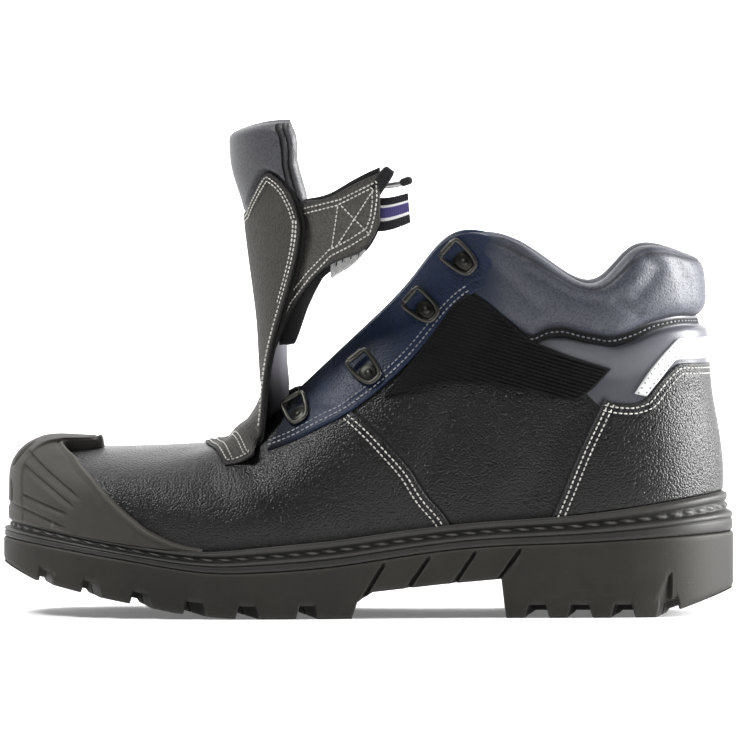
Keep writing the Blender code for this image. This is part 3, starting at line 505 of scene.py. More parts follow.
def pressed(distance, rows, depth):
    """How far rows of stitches press a layer in: a soft groove along each, by the distance from its edge."""
    return sum(depth * hump(distance - row, 0.7) for row in rows)


def add_piece(name, verts, faces, finish, nodes=(), slot=None, values=None, sharp=None):
    """One finished object at the origin, its faces turned outwards, riding on the shoe's one body."""
    mesh = bpy.data.meshes.new(name)
    mesh.from_pydata((np.asarray(verts) * MM).tolist(), [], [f for group in faces for f in group.tolist()])
    for key, value in (values or {}).items():
        paint = mesh.attributes.new(key, "FLOAT", "POINT")
        paint.data.foreach_set("value", np.ravel(value).astype(np.float32))
    shape = bmesh.new()
    shape.from_mesh(mesh)
    bmesh.ops.remove_doubles(shape, verts=shape.verts, dist=WELD)
    bmesh.ops.dissolve_degenerate(shape, edges=shape.edges, dist=WELD / 10)
    if shape.calc_volume(signed=True) < 0:
        bmesh.ops.reverse_faces(shape, faces=shape.faces)
    shape.to_mesh(mesh)
    shape.free()
    mesh.shade_smooth()
    if sharp:
        mesh.set_sharp_from_angle(angle=np.radians(sharp))
    mesh.materials.append(finish)
    piece = bpy.data.objects.new("dressed_" + name if nodes else name, mesh)
    bpy.context.scene.collection.objects.link(piece)
    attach(piece, "root")
    if nodes:
        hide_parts(*nodes)
    return piece


# Finishes


class Value:
    """A number or colour that varies over a surface. Sums and products of it add Math nodes."""

    def __init__(self, finish, socket):
        self.finish, self.socket = finish, socket

    def math(self, operation, *terms):
        return self.finish.node("ShaderNodeMath", {"operation": operation}, dict(enumerate(terms)))

    def __add__(self, other):
        return self.math("ADD", self, other)

    def __sub__(self, other):
        return self.math("SUBTRACT", self, other)

    def __rsub__(self, other):
        return self.math("SUBTRACT", other, self)

    def __mul__(self, other):
        return self.math("MULTIPLY", self, other)

    __radd__ = __add__

    def rise(self, low, high):
        """0 below low, 1 above high, and an S between."""
        inputs = {"Value": self, "From Min": low, "From Max": high}
        return self.finish.node("ShaderNodeMapRange", {"interpolation_type": "SMOOTHSTEP"}, inputs)

    def wave(self, length):
        """Sine of the value, with this wave length."""
        angle = self * (2 * np.pi / length)
        return angle.math("SINE", angle)


class Finish:
    """A material while it is made: its shader, its textures and what they feed."""

    def __init__(self, name, **constants):
        self.material = bpy.data.materials.new(name)
        self.material.use_nodes = True
        self.tree = self.material.node_tree
        self.shader = self.tree.nodes["Principled BSDF"]
        self.done(**constants)
        self.place = self.node("ShaderNodeTexCoord", output="Object")

    def feed(self, node, inputs):
        """Sets or links a node's inputs."""
        for key, value in inputs.items():
            socket = node.inputs[key]
            if isinstance(value, Value):
                self.tree.links.new(value.socket, socket)
            elif socket.type == "RGBA":
                socket.default_value = (*value, 1)
            else:
                socket.default_value = value

    def node(self, kind, settings=None, inputs=None, output=0):
        """A new node, as the value of one of its outputs."""
        node = self.tree.nodes.new(kind)
        for key, value in (settings or {}).items():
            setattr(node, key, value)
        self.feed(node, inputs or {})
        return Value(self, node.outputs[output])

    def noise(self, scale, detail=3.0, at=None):
        """Cloudy noise, with scale features in a metre."""
        inputs = {"Vector": at or self.place, "Scale": scale, "Detail": detail}
        return self.node("ShaderNodeTexNoise", {}, inputs)

    def cells(self, scale, at=None):
        """Distance to the nearest of scattered points, with scale of them in a metre."""
        inputs = {"Vector": at or self.place, "Scale": scale}
        return self.node("ShaderNodeTexVoronoi", {"feature": "F1"}, inputs)

    def stretched(self, scale):
        """The place, scaled by three factors."""
        return self.node("ShaderNodeMapping", {}, {"Vector": self.place, "Scale": scale})

    def painted(self, name):
        """A number stored on the piece's vertices."""
        return self.node("ShaderNodeAttribute", {"attribute_name": name}, output="Fac")

    def edges(self, sharp):
        """0 on flat and hollow places, 1 on edges as sharp as this or sharper."""
        return self.node("ShaderNodeNewGeometry", output="Pointiness").rise(0.50, sharp)

    def mix(self, share, first, second):
        """A colour that goes from the first to the second with share."""
        return self.node("ShaderNodeMix", {"data_type": "RGBA"}, {0: share, 6: first, 7: second}, output=2)

    def bump(self, height, depth):
        """Normal of a surface that stands depth metres higher where height is 1."""
        return self.node("ShaderNodeBump", {}, {"Height": height, "Distance": depth, "Strength": 1.0})

    def done(self, **inputs):
        """Feeds the shader, by the names of its inputs with _ for a space, and gives the material."""
        names = {key: key.replace("_", " ").title().replace("Ior", "IOR") for key in inputs}
        self.feed(self.shader, {names[key]: value for key, value in inputs.items()})
        return self.material


def times(colour, factor):
    """A colour made darker or lighter by a factor."""
    return tuple(factor * c for c in colour)


def leather(name, colour, edge, worn, grain, depth, gloss, pores=0.3, panel=None, scuffs=1.0):
    """Grained hide: raised rounded cells, fine pores over them, cloudy tone, scuffs.

    Its edges take the colour edge by the share worn. Where a panel colour is given, it takes over where the
    piece is painted as panel, and is smoother. Painted shade darkens and dulls it.
    """
    f = Finish(name, specular_ior_level=0.35)
    drift = f.node("ShaderNodeTexNoise", {}, {"Vector": f.place, "Scale": grain * 0.4}, output="Color")
    drift = f.node("ShaderNodeVectorMath", {"operation": "SCALE"}, {0: drift, "Scale": 0.5 / grain})
    bent = f.node("ShaderNodeVectorMath", {"operation": "ADD"}, {0: f.place, 1: drift})
    pebble = f.cells(grain, bent)
    fine = f.noise(grain * 2.6, 2.0)
    cloud = f.noise(26.0, 4.0)
    scuff = f.noise(70.0, 5.0, f.stretched((1.0, 1.0, 2.6))).rise(0.56, 0.78) * scuffs
    tone = f.mix(cloud.rise(0.3, 0.7), times(colour, 0.82), times(colour, 1.2))
    # painted shade: the valleys between the raised cells are darker
    tone = f.mix(pebble.rise(0.35, 0.75) * 0.6, tone, times(colour, 0.4))
    tone = f.mix(scuff * 0.12 * (0.5 + cloud * 0.7), tone, times(colour, 3))
    tone = f.mix(f.painted("rim") * worn, tone, edge)
    relief = 1 - pebble * pebble * 1.2 + fine * pores
    shine = gloss + (cloud - 0.5) * 0.14 + pebble * 0.08 + scuff * 0.06
    if panel:
        flat = f.painted("panel").rise(0.0, 1.0)
        tone = f.mix(flat, tone, f.mix(cloud.rise(0.3, 0.7), times(panel, 0.85), times(panel, 1.15)))
        relief = relief * (1 - flat * 0.8)
    shade = f.painted("shade")
    tone = f.mix(shade, tone, times(colour, 0.15))
    return f.done(base_color=tone, roughness=shine + shade * 0.4, normal=f.bump(relief, depth))


def rubber(name, colour, dust_and_highlight, gloss):
    """Moulded rubber: fine mould texture, cloudy bloom, scratches, dust and painted highlight on edges.

    Where painted as rim it takes the same pale colour, as painted highlight. Painted shade darkens it.
    """
    f = Finish(name, specular_ior_level=0.25)
    cloud = f.noise(34.0, 5.0)
    fine = f.noise(2400.0, 2.0)
    scratch = f.noise(420.0, 4.0, f.stretched((0.35, 0.35, 1.6))).rise(0.60, 0.74)
    edge = f.edges(0.56)
    tone = f.mix(cloud.rise(0.3, 0.72), times(colour, 0.8), times(colour, 1.22))
    # pale colour of dust and scuffs on edges, and painted highlight on edges and where painted as rim
    tone = f.mix(scratch * 0.05 + edge * 0.35 + f.painted("rim") * 0.6, tone, dust_and_highlight)
    tone = f.mix(f.painted("shade"), tone, times(colour, 0.2))
    shine = gloss + (cloud - 0.5) * 0.18 - edge * 0.1
    return f.done(base_color=tone, roughness=shine, normal=f.bump(fine * 0.6 + scratch * 0.3, 0.00012))


def cloth(name, colour, pale, thread, depth, gloss=0.9, fuzz=0.4, shine=0.2):
    """Woven or napped cloth: two crossing rows of threads, stray fibres and a soft sheen."""
    f = Finish(name, specular_ior_level=shine, sheen_weight=fuzz, sheen_roughness=0.45)
    parts = [f.node("ShaderNodeSeparateXYZ", {}, {"Vector": f.place}, output=k) for k in (0, 1, 2)]
    weave = (parts[0] + parts[1]).wave(thread) * (parts[2] - parts[1]).wave(thread)
    fibre = f.noise(2600.0, 3.0)
    cloud = f.noise(60.0, 4.0)
    tone = f.mix(fibre.rise(0.35, 0.75) * 0.7 + weave * 0.12, colour, pale)
    tone = f.mix(cloud.rise(0.35, 0.8) * 0.25, tone, pale)
    return f.done(base_color=tone, roughness=gloss + (fibre - 0.5) * 0.1,
                  normal=f.bump(weave * 0.35 + fibre, depth))


def thread_finish(name, clean, grubby):
    """Twisted sewing thread, clean in places and grubby in others."""
    f = Finish(name, roughness=0.62, specular_ior_level=0.35)
    dirt = f.noise(240.0, 3.0)
    tone = f.mix(dirt.rise(0.35, 0.75), clean, grubby)
    return f.done(base_color=tone, normal=f.bump(f.noise(5200.0, 1.0), 0.00008))


def reflective_finish(name):
    """Pale trim with fine glass beads in a cloudy silver layer, greyer along its edges."""
    f = Finish(name, specular_ior_level=0.6)
    bead = f.cells(2600.0)
    cloud = f.noise(90.0, 4.0)
    tone = f.mix(cloud.rise(0.35, 0.75), (0.80, 0.81, 0.82), (0.66, 0.67, 0.69))
    tone = f.mix(f.painted("rim") * 0.35, tone, (0.35, 0.35, 0.36))
    return f.done(base_color=tone, roughness=0.34 + cloud * 0.14, normal=f.bump(bead, 0.00006))


def striped_finish(name):
    """Woven tape by its share of width: violet middle, two pale lines, two black edges; painted shade at its
    root.
    """
    f = Finish(name, roughness=0.82, specular_ior_level=0.25, sheen_weight=0.1)
    black, white = (0.006, 0.006, 0.008), (0.70, 0.68, 0.70)
    violet, worn = (0.048, 0.038, 0.14), (0.02, 0.02, 0.026)
    share, run = f.painted("share"), f.painted("along")
    fibre = f.noise(2600.0, 3.0)
    tone = f.mix(share.rise(0.285, 0.305) * (1 - share.rise(0.755, 0.775)), black, white)
    tone = f.mix(share.rise(0.375, 0.395) * (1 - share.rise(0.685, 0.705)), tone, violet)
    tone = f.mix(fibre.rise(0.45, 0.8) * 0.3, tone, worn)
    # painted shade: black towards the tape's root
    tone = f.mix(1 - run.rise(0.2, 3.4), tone, black)
    return f.done(base_color=tone, normal=f.bump(run.wave(0.9) * 0.3 + fibre * 0.7, 0.0002))


def metal_finish(name, dark, bright):
    """Plated steel, rubbed bright on its edges."""
    f = Finish(name, metallic=1.0)
    cloud = f.noise(300.0, 4.0)
    rubbed = f.edges(0.60) * 0.6 + cloud.rise(0.55, 0.8) * 0.3
    tone = f.mix(rubbed, dark, bright)
    return f.done(base_color=tone, roughness=0.40 - rubbed * 0.1 + cloud * 0.1,
                  normal=f.bump(f.noise(1500.0, 2.0), 0.00005))


DARK = (0.004, 0.004, 0.004)
LOOKS = {
    "black_leather": (leather, dict(
        colour=(0.0070, 0.0070, 0.0070), edge=(0.05, 0.05, 0.05), worn=0.3, grain=1150.0, depth=0.00023,
        gloss=0.29, pores=0.34, panel=(0.094, 0.096, 0.111))),
    "collar_leather": (leather, dict(
        colour=(0.057, 0.061, 0.078), edge=DARK, worn=0.0, grain=1100.0, depth=0.00008, gloss=0.40,
        panel=(0.006, 0.0125, 0.030), scuffs=0.2)),
    "tongue_leather": (leather, dict(
        colour=(0.055, 0.055, 0.063), edge=DARK, worn=0.0, grain=1100.0, depth=0.00008, gloss=0.40,
        panel=(0.30, 0.29, 0.33), scuffs=0.3)),
    "navy_leather": (leather, dict(
        colour=(0.0020, 0.0104, 0.037), edge=(0.012, 0.024, 0.055), worn=0.25, grain=1100.0, depth=0.00014,
        gloss=0.44, pores=0.4)),
    "flap_leather": (leather, dict(
        colour=(0.031, 0.029, 0.0238), edge=DARK, worn=0.95, grain=1100.0, depth=0.00030, gloss=0.58,
        pores=0.6)),
    "strap_leather": (leather, dict(
        colour=(0.065, 0.0615, 0.0535), edge=DARK, worn=0.95, grain=1100.0, depth=0.00030, gloss=0.58,
        pores=0.6)),
    "sole_rubber": (rubber, dict(colour=(0.0198, 0.019, 0.0158), dust_and_highlight=(0.075, 0.072, 0.063), gloss=0.62)),
    "midsole_rubber": (rubber, dict(colour=(0.0175, 0.0172, 0.0155), dust_and_highlight=(0.10, 0.098, 0.090), gloss=0.52)),
    "cap_rubber": (rubber, dict(colour=(0.043, 0.040, 0.035), dust_and_highlight=(0.12, 0.114, 0.10), gloss=0.60)),
    "loop_fabric": (cloth, dict(
        colour=(0.0028, 0.0028, 0.003), pale=(0.016, 0.016, 0.0165), thread=0.0011, depth=0.0002, gloss=0.7,
        fuzz=0.0, shine=0.14)),
    "webbing": (cloth, dict(
        colour=(0.005, 0.005, 0.006), pale=(0.022, 0.022, 0.024), thread=0.0013, depth=0.0002, gloss=0.75,
        fuzz=0.1)),
    "lining_fabric": (cloth, dict(
        colour=(0.060, 0.060, 0.066), pale=(0.13, 0.13, 0.14), thread=0.0014, depth=0.0003)),
    "hook_tape": (cloth, dict(
        colour=(0.34, 0.34, 0.34), pale=(0.62, 0.62, 0.61), thread=0.0012, depth=0.0003, gloss=0.5,
        fuzz=0.0)),
    "dark_thread": (cloth, dict(
        colour=(0.10, 0.10, 0.10), pale=(0.22, 0.22, 0.22), thread=0.0006, depth=0.0001, gloss=0.7,
        fuzz=0.0)),
    "thread": (thread_finish, dict(clean=(0.62, 0.61, 0.57), grubby=(0.36, 0.35, 0.33))),
    "eyestay_thread": (thread_finish, dict(clean=(0.31, 0.32, 0.35), grubby=(0.15, 0.155, 0.17))),
    "reflective": (reflective_finish, {}),
    "striped_tape": (striped_finish, {}),
    "dark_metal": (metal_finish, dict(dark=(0.030, 0.030, 0.027), bright=(0.17, 0.165, 0.15))),
    "pale_metal": (metal_finish, dict(dark=(0.25, 0.25, 0.25), bright=(0.6, 0.6, 0.59))),
}


def make_finishes():
    """Every finish of the shoe by its name."""
    return {name: make(name, **looks) for name, (make, looks) in LOOKS.items()}


# Sole

SOLE_HALF, LUG_DEPTH, GAP_ROOF = 50.0, 5.5, 0.62  # half its width, depth of the gaps, level share of a gap
MIDDLE_HALF, MIDDLE_EDGE, MIDDLE_FILL = 13.0, 5.0, 0.72  # the gaps are shallower in the middle of the sole
SPLIT_Y, SPLIT_DEPTH, SPLIT_ROOF, SPLIT_FLOOR, SPLIT_END = 17.0, 4.3, 2.2, 2.9, 1.5
SPLIT_RUNS = ((-128.0, -12.0), (63.0, 128.0))
# Slanted grooves on the side of the waist
SIDE_RIB_TOPS, RIB_LEAN, RIB_HALF, RIB_DEPTH, RIB_SOFT = (6.1, 25.2, 44.8, 63.8), -8.2, 0.7, 1.7, 0.3
RIB_BELOW_GROOVE, RIB_OVER_GROUND = 2.4, 0.4
RIB_FOOT, RIB_FOOT_HALF = 0.9, 1.6  # notch where a groove meets the ground: rise, and half width in rises
# Slanted facet over the last heel gap
FACET_X, FACET_TOP, FACET_LEAN, FACET_DEPTH = 128.3, 19.5, 0.6, 2.2
FACET_LONG, FACET_LOW = 10.0, 5.0
# Wall of the outsole: its foot by distance outside the welt and height over the tread, its top by distance
# outside the welt and depth below the groove, and the height over the tread where it turns upright
FOOT_ROWS = ((-0.8, 0.0), (-0.25, 0.3), (0.12, 0.9), (0.32, 1.7))
TOP_ROWS = ((0.3, 0.75), (0.05, 0.35), (-0.4, 0.05))
TREAD_OUT, TREAD_RISE, TOP_BELOW, WALL_ROWS = 0.4, 2.5, 1.2, 16
# How far from the middle of the tread its split lugs begin and end, and where a narrow sole draws them in
SPLIT_IN, SPLIT_OUT, SPLIT_ROOM = 13.4, 20.6, 27.0


def ground_z(x):
    """Height of the underside without its gaps, between the rows of the table."""
    return np.interp(x, *zip(*GROUND_ROWS))


def chevron_point(c):
    """How far the lug lines point forward in the middle of the sole."""
    front, heel = LUG_GAPS[:6], LUG_GAPS[6:]
    x = [-156, *[g.x for g in front], 0, 57, *[g.x for g in heel], 156]
    return np.interp(c, x, [0, *[g.point for g in front], 0, 0, *[g.point for g in heel], 0])


def chevron(x, y):
    """How far along the tread a place lies, counted along lines bent like the lugs' chevrons."""
    c = np.asarray(x, float)
    for _ in range(8):
        c = x + chevron_point(c) * (1 - np.abs(y) / SOLE_HALF)
    return c


def tread_z(c, y):
    """Underside of the tread: the ground line, raised in the gaps between lugs and along the splits.

    The gaps are shallow in the middle of the sole.
    """
    rise = np.zeros(np.broadcast(c, y).shape)
    depth = LUG_DEPTH * (1 - MIDDLE_FILL * smooth((MIDDLE_HALF - np.abs(y)) / MIDDLE_EDGE))
    for g in LUG_GAPS:
        gap = smooth((g.half - np.abs(c - g.x)) / (g.half * (1 - GAP_ROOF)))
        rise = np.maximum(rise, depth * gap)
    across = smooth((SPLIT_FLOOR - np.abs(np.abs(y) - SPLIT_Y)) / (SPLIT_FLOOR - SPLIT_ROOF))
    for begin, end in SPLIT_RUNS:
        inside = smooth((c - begin) / SPLIT_END) * smooth((end - c) / SPLIT_END)
        rise = np.maximum(rise, SPLIT_DEPTH * across * inside)
    return ground_z(c) + rise


def sole_ring(u, spread):
    """The foot loop moved outwards in plan by spread; its height is still to be set."""
    foot = LOOPS[0](u)
    ahead = LOOPS[0](u + STEP) - LOOPS[0](u - STEP)
    away = unit(np.stack([ahead[..., 1], -ahead[..., 0], np.zeros_like(u)], axis=-1))
    return foot + np.asarray(spread)[..., None] * away


def full_round(half):
    """u all round from stations on the outer half."""
    return np.concatenate([half, 1 - half[-2:0:-1]])


def across_ring(ring, columns):
    """Grid of lines from the outer to the inner side of a ring with the same stations on both."""
    half = len(ring) // 2
    outer = ring[: half + 1]
    inner = np.concatenate([ring[:1], ring[: half - 1 : -1]])
    share = np.linspace(0, 1, columns)[None, :, None]
    return outer[:, None] * (1 - share) + inner[:, None] * share


def tread_stations():
    """Places along the tread: even steps, more of them at lugs' edges, the ground's corners and the waist."""
    inside = np.array([1.15, 1.05, 1.0, 0.94, 0.88, 0.81, 0.74, 0.68, 0.62, 0.55, 0.3])
    edges = [g.x + s * g.half * inside for g in LUG_GAPS for s in (-1, 1)]
    corners = [x + np.array([-1.2, -0.6, -0.25, 0, 0.25, 0.6, 1.2]) for x, _ in GROUND_ROWS[6:12]]
    waist = np.arange(-4, 66, 0.55)
    corners.append(FACET_X + np.array([-0.4, -0.15, 0.0, 0.15, 0.4]))
    ends = [-156 + np.arange(0, 12, 0.5), 156 - np.arange(0, 12, 0.5)]
    c = np.sort(np.concatenate([np.arange(-155, 156, 2.2), waist, *edges, *corners, *ends]))
    return c[np.concatenate([[True], np.diff(c) > 0.12])]


def waist_grooves(x, z):
    """Share of the full depth of the slanted grooves on the side of the waist."""
    depth = np.zeros_like(x)
    for top in SIDE_RIB_TOPS:
        foot = top + RIB_LEAN
        ends = ((top, groove_z(top) - RIB_BELOW_GROOVE), (foot, ground_z(foot) + RIB_OVER_GROUND))
        away = line_distance(np.stack([x, z], axis=-1), ends)
        depth = np.maximum(depth, smooth((RIB_HALF + RIB_SOFT - away) / (2 * RIB_SOFT)))
    return depth


def heel_facet(x, z):
    """Depth of the slanted facet over the last heel gap: it grows from its slanted front edge to FACET_X."""
    slope = FACET_X - (FACET_TOP - z) * FACET_LEAN
    facet = np.clip((x - slope) / (FACET_TOP - z + 0.1).clip(1) / FACET_LEAN, 0, 1)
    facet = facet * (x < FACET_X) * (x > FACET_X - FACET_LONG) * smooth((FACET_TOP - z) / 1.5)
    return FACET_DEPTH * facet * smooth((z - FACET_LOW) / 2.0)


def edge_stations():
    """Places along the tread where lines across it start and end, and u of those ends all round its edge."""
    fine = np.linspace(0, 0.5, 3001)
    run_o, run_i = (chevron(*sole_ring(u, WELT + TREAD_OUT)[:, :2].T) for u in (fine, 1 - fine))
    c = tread_stations()
    c = np.concatenate([[run_o[0]], c[(c > run_o[0] + 0.1) & (c < run_o[-1] - 0.1)], [run_o[-1]]])
    outer, inner = np.interp(c, run_o, fine), 1 - np.interp(c, run_i, fine)
    return c, np.concatenate([outer, inner[-2:0:-1]])


def outsole_wall(c, u):
    """Rings about the foot, from the tread's edge up to the groove, and the painted shade in their cuts.

    Along the waist they lean back as its slanted grooves do.
    """
    run = np.concatenate([c, c[-2:0:-1]])
    x = sole_ring(u, WELT + TREAD_OUT)[:, 0]
    low, high = tread_z(run, SOLE_HALF), groove_z(x)
    for top in SIDE_RIB_TOPS[:3]:
        low = low + RIB_FOOT * smooth(RIB_FOOT_HALF - np.abs(x - top - RIB_LEAN) / RIB_FOOT)
    per_u = (sole_ring(u + STEP, WELT) - sole_ring(u - STEP, WELT))[:, 0] / (2 * STEP)
    lean = -RIB_LEAN * smooth((run + 18) / 14) * smooth((88 - run) / 24)
    lean = np.where(np.abs(x) < 110, lean / per_u, 0)
    rows = [(WELT + out, low + up, 0.0) for out, up in FOOT_ROWS]
    for share in np.linspace(0, 1, WALL_ROWS):
        rows.append((WELT + TREAD_OUT, (low + TREAD_RISE) * (1 - share) + (high - TOP_BELOW) * share, share))
    rows += [(WELT + out, high - down, 1.0) for out, down in TOP_ROWS]
    wall, shade = [], []
    for spread, z, share in rows:
        at = u + lean * share
        x = sole_ring(at, WELT)[:, 0]
        z = z + (groove_z(x) - high) * share
        cut = waist_grooves(x, z)
        ring = sole_ring(at, spread - RIB_DEPTH * cut - heel_facet(x, z))
        ring[:, 2] = z
        wall.append(ring)
        # painted shade in the slanted grooves
        shade.append(0.85 * cut)
    return np.stack(wall, axis=1), np.stack(shade, axis=1)


def tread_grid(c, ring):
    """Lines across the tread that follow the chevrons, between the two sides of the ring round its edge.

    They have more points at the splits, and on a narrow sole the splits draw in.
    """
    y_o, y_i = ring[: len(c), 1], np.concatenate([ring[:1, 1], ring[: len(c) - 2 : -1, 1]])
    middle = (y_o + y_i) / 2 * (1 - smooth((y_i - y_o) / 60))
    thin_o, thin_i = np.minimum(1, (middle - y_o) / SPLIT_ROOM), np.minimum(1, (y_i - middle) / SPLIT_ROOM)
    outer = [y_o, middle - SPLIT_OUT * thin_o, middle - SPLIT_IN * thin_o]
    inner = [middle + SPLIT_IN * thin_i, middle + SPLIT_OUT * thin_i, y_i]
    knots = np.stack([*outer, middle, *inner], axis=1)
    split = np.array([0.08, 0.14, 0.2, 0.3, 0.5, 0.7, 0.8, 0.86, 0.92])
    edge = np.linspace(0, 1, 9)
    t = np.concatenate([edge, 1 + split, np.linspace(2, 4, 13), 4 + split, 5 + edge])
    i = np.minimum(t.astype(int), 5)
    y = knots[:, i] * (1 - (t - i)) + knots[:, i + 1] * (t - i)
    x = c[:, None] - chevron_point(c)[:, None] * (1 - np.abs(y) / SOLE_HALF)
    tread = np.stack([x, y, tread_z(c[:, None] + 0 * y, y)], axis=-1)
    tread[:, 0], tread[1:-1, -1] = ring[: len(c)], ring[: len(c) - 1 : -1]
    tread[0], tread[-1] = ring[0], ring[len(c) - 1]
    return tread


def build_outsole(finish):
    """Wall, tread and roof of the outsole, welded along their common edges."""
    c, u = edge_stations()
    wall, shade = outsole_wall(c, u)
    tread, roof = tread_grid(c, wall[:, 0]), across_ring(wall[:, -1], 5)
    grids = ((wall, True, False), (tread, False, True), (roof, False, False))
    add_welded("outsole", grids, finish["sole_rubber"], "sole_rubber", 38, {"shade": shade})


def add_welded(name, grids, finish, slot, sharp=None, values=None):
    """One closed piece from grids that share their edges: (points, closed round its rows, faces turned).

    Values are painted on the first grid.
    """
    verts, faces, start = [], [], 0
    for points, closed, turned in grids:
        quads = grid_quads(*points.shape[:2], round_rows=closed, start=start)
        faces.append(quads[:, ::-1] if turned else quads)
        verts.append(points.reshape(-1, 3))
        start += len(verts[-1])
    painted = {}
    for key, value in (values or {}).items():
        painted[key] = np.append(value.ravel(), np.zeros(start - value.size))
    add_piece(name, np.concatenate(verts), faces, finish, [name], slot, painted, sharp)


# Midsole, from the groove up: how far inside the welt's edge, and share of the way from groove to lip
MIDSOLE_EDGE = (
    (1.2, 0.000), (0.7, 0.020), (0.25, 0.045), (0.0, 0.085), (0.0, 0.16), (0.0, 0.24), (0.1, 0.285),
    (0.5, 0.305), (0.55, 0.325), (0.15, 0.345), (-0.1, 0.38), (0.0, 0.42), (0.4, 0.455), (1.2, 0.48),
    (2.1, 0.50), (2.6, 0.53), (2.8, 0.57), (2.9, 0.61), (2.95, 0.65), (3.2, 0.68), (3.3, 0.70), (2.8, 0.73),
    (2.4, 0.78), (2.3, 0.84), (2.5, 0.90),
)
# Its lip against the upper: how far off the upper, and how far down
LIP_ROWS = ((2.2, 0.7), (1.75, 0.25), (1.1, 0.02), (0.5, 0.15), (0.05, 0.9), (0.0, 2.6))
# Raised dashes on its ledge: shares where they start and end, spacing, height, slant in spacings
DASH_ROWS, DASH_PITCH, DASH_RISE, DASH_SLANT = (0.54, 0.67), 7.5, 0.7, 0.45


def build_midsole(finish):
    """Rings about the foot with a moulded bead, a ledge with raised slanted dashes and a rounded lip."""
    fine = np.linspace(0, 0.5, 2001)
    run = run_of(sole_ring(fine, WELT))
    u = full_round(np.interp(np.linspace(0, run[-1], 470), run, fine))
    edge = sole_ring(u, WELT)
    travel = run_of(np.concatenate([edge, edge[:1]]))
    pitch = travel[-1] / round(travel[-1] / DASH_PITCH)
    x = edge[:, 0]
    rings, rim, shade = [], [], []
    for inset, share in MIDSOLE_EDGE:
        where = (share - DASH_ROWS[0]) / (DASH_ROWS[1] - DASH_ROWS[0])
        turn = np.cos(2 * np.pi * (travel[:-1] / pitch + DASH_SLANT * where))
        level = smooth(where / 0.25) * smooth((1 - where) / 0.25)
        dash = smooth((turn + 0.2) / 0.4) * level
        ring = sole_ring(u, WELT - inset + DASH_RISE * dash)
        ring[:, 2] = groove_z(x) * (1 - share) + lip_z(x) * share
        rings.append(ring)
        # painted highlight on the raised dashes and on the bead
        rim.append(0.75 * dash + 0.2 * hump(share - 0.40, 0.03))
        # painted shade on the ledge between the dashes and in the groove by the bead
        shade.append(0.8 * hump(share - 0.58, 0.12) * (1 - dash) + 0.6 * hump(share - 0.315, 0.02))
    v = v_lip(u)
    for lift, down in LIP_ROWS:
        rings.append(upper(u, v, lift) - (0, 0, down + GAP))
        # painted highlight along the top of the lip
        rim.append(0 * u + 0.45 * hump(lift - 1.7, 0.5))
        shade.append(0 * u)
    bed = upper(u, 0 * u, GAP)
    bed[:, 2] = LOOPS[0](u)[:, 2] - GAP
    wall = np.stack([*rings, bed], axis=1)
    values = {"rim": np.stack([*rim, 0 * u], axis=1), "shade": np.stack([*shade, 0 * u], axis=1)}
    floor, roof = across_ring(wall[:, 0], 7), across_ring(bed, 7)
    grids = ((wall, True, False), (floor, False, True), (roof, False, False))
    add_welded("midsole", grids, finish["midsole_rubber"], "sole_rubber", None, values)


INSOLE_THICK, INSOLE_CROWN, HEEL_CUP, ARCH_RISE = 3.9, 0.8, 2.2, 3.0


def build_insole(finish):
    """Foot bed inside the shoe: a low crown, cupped at the heel and raised under the arch."""
    u = full_round(np.linspace(0, 0.5, 140))
    under = upper(u, 0 * u, -WALL - GAP)
    under[:, 2] = LOOPS[0](u)[:, 2]
    side = under + (0, 0, INSOLE_THICK)
    across = np.linspace(-1, 1, 41)[None, :]
    top = across_ring(side, 41)
    rear = smooth((top[..., 0] + 20) / 70)
    arch = smooth(1 - np.abs(top[..., 0] - 10) / 55) * smooth(across)
    across = np.abs(across)
    top[..., 2] += INSOLE_CROWN * (1 - across**8)
    top[..., 2] += HEEL_CUP * rear * (across**4 - across**16) + ARCH_RISE * arch * (1 - across**10)
    wall = np.stack([under, side], axis=1)
    grids = ((wall, True, False), (across_ring(under, 7), False, True), (top, False, False))
    add_welded("insole", grids, finish["lining_fabric"], "lining_fabric")


# Upper and what is sewn to it

SKIN, LEATHER = 1.25, 1.5  # thickness of the upper's leather and of a layer sewn to it
SUNK, BACK_STEP = 0.25, 8  # how far such a layer's back sinks in, and how coarse that back is
# A layer that ends on a seam: its step, how its edge is rounded, how far it is level, over what distance it
# fades out, and depth of the groove before it
Lap = namedtuple("Lap", "step radius level fade groove")
VAMP_LAP, VAMP_LAP_TOP = Lap(1.2, 0.9, 5.0, 32.0, 0.5), 85.0
PANEL_LAP, PANEL_LAP_LOW = Lap(0.8, 0.8, 4.0, 25.0, 0.4), 90.0
PANEL_LINE = ((60.5, 125.3), (98.0, 89.1))  # front edge of the soft panel over the heel, on the inner side
PAD_RISE = 2.2  # how far that panel swells below the collar
HEEL_FILL, HEEL_FILL_Z, HEEL_FILL_TALL = 3.4, 115.0, 15.0  # filling of the back of the heel under the collar
SEAM_ROW = 0.84  # share of the upper's rows of faces that lie below the collar's seam
# Soft troughs (positive) and ridges, seen from the side: line, width, depth
CREASES = (
    (((-50.0, 62.0), (-40.0, 52.0), (-34.0, 42.0)), 5.0, 0.7),
    (((-66.0, 58.0), (-60.0, 46.0)), 5.0, 0.5),
    (((40.0, 94.0), (30.0, 78.0), (27.0, 64.0)), 6.0, 0.6),
    (((58.0, 90.0), (62.0, 72.0), (60.0, 60.0)), 6.0, -0.6),
    (((84.0, 88.0), (78.0, 70.0), (74.0, 56.0)), 5.0, 0.6),
    (((-84.0, 46.0), (-60.0, 39.0), (-20.0, 42.0)), 6.0, -0.5),
)


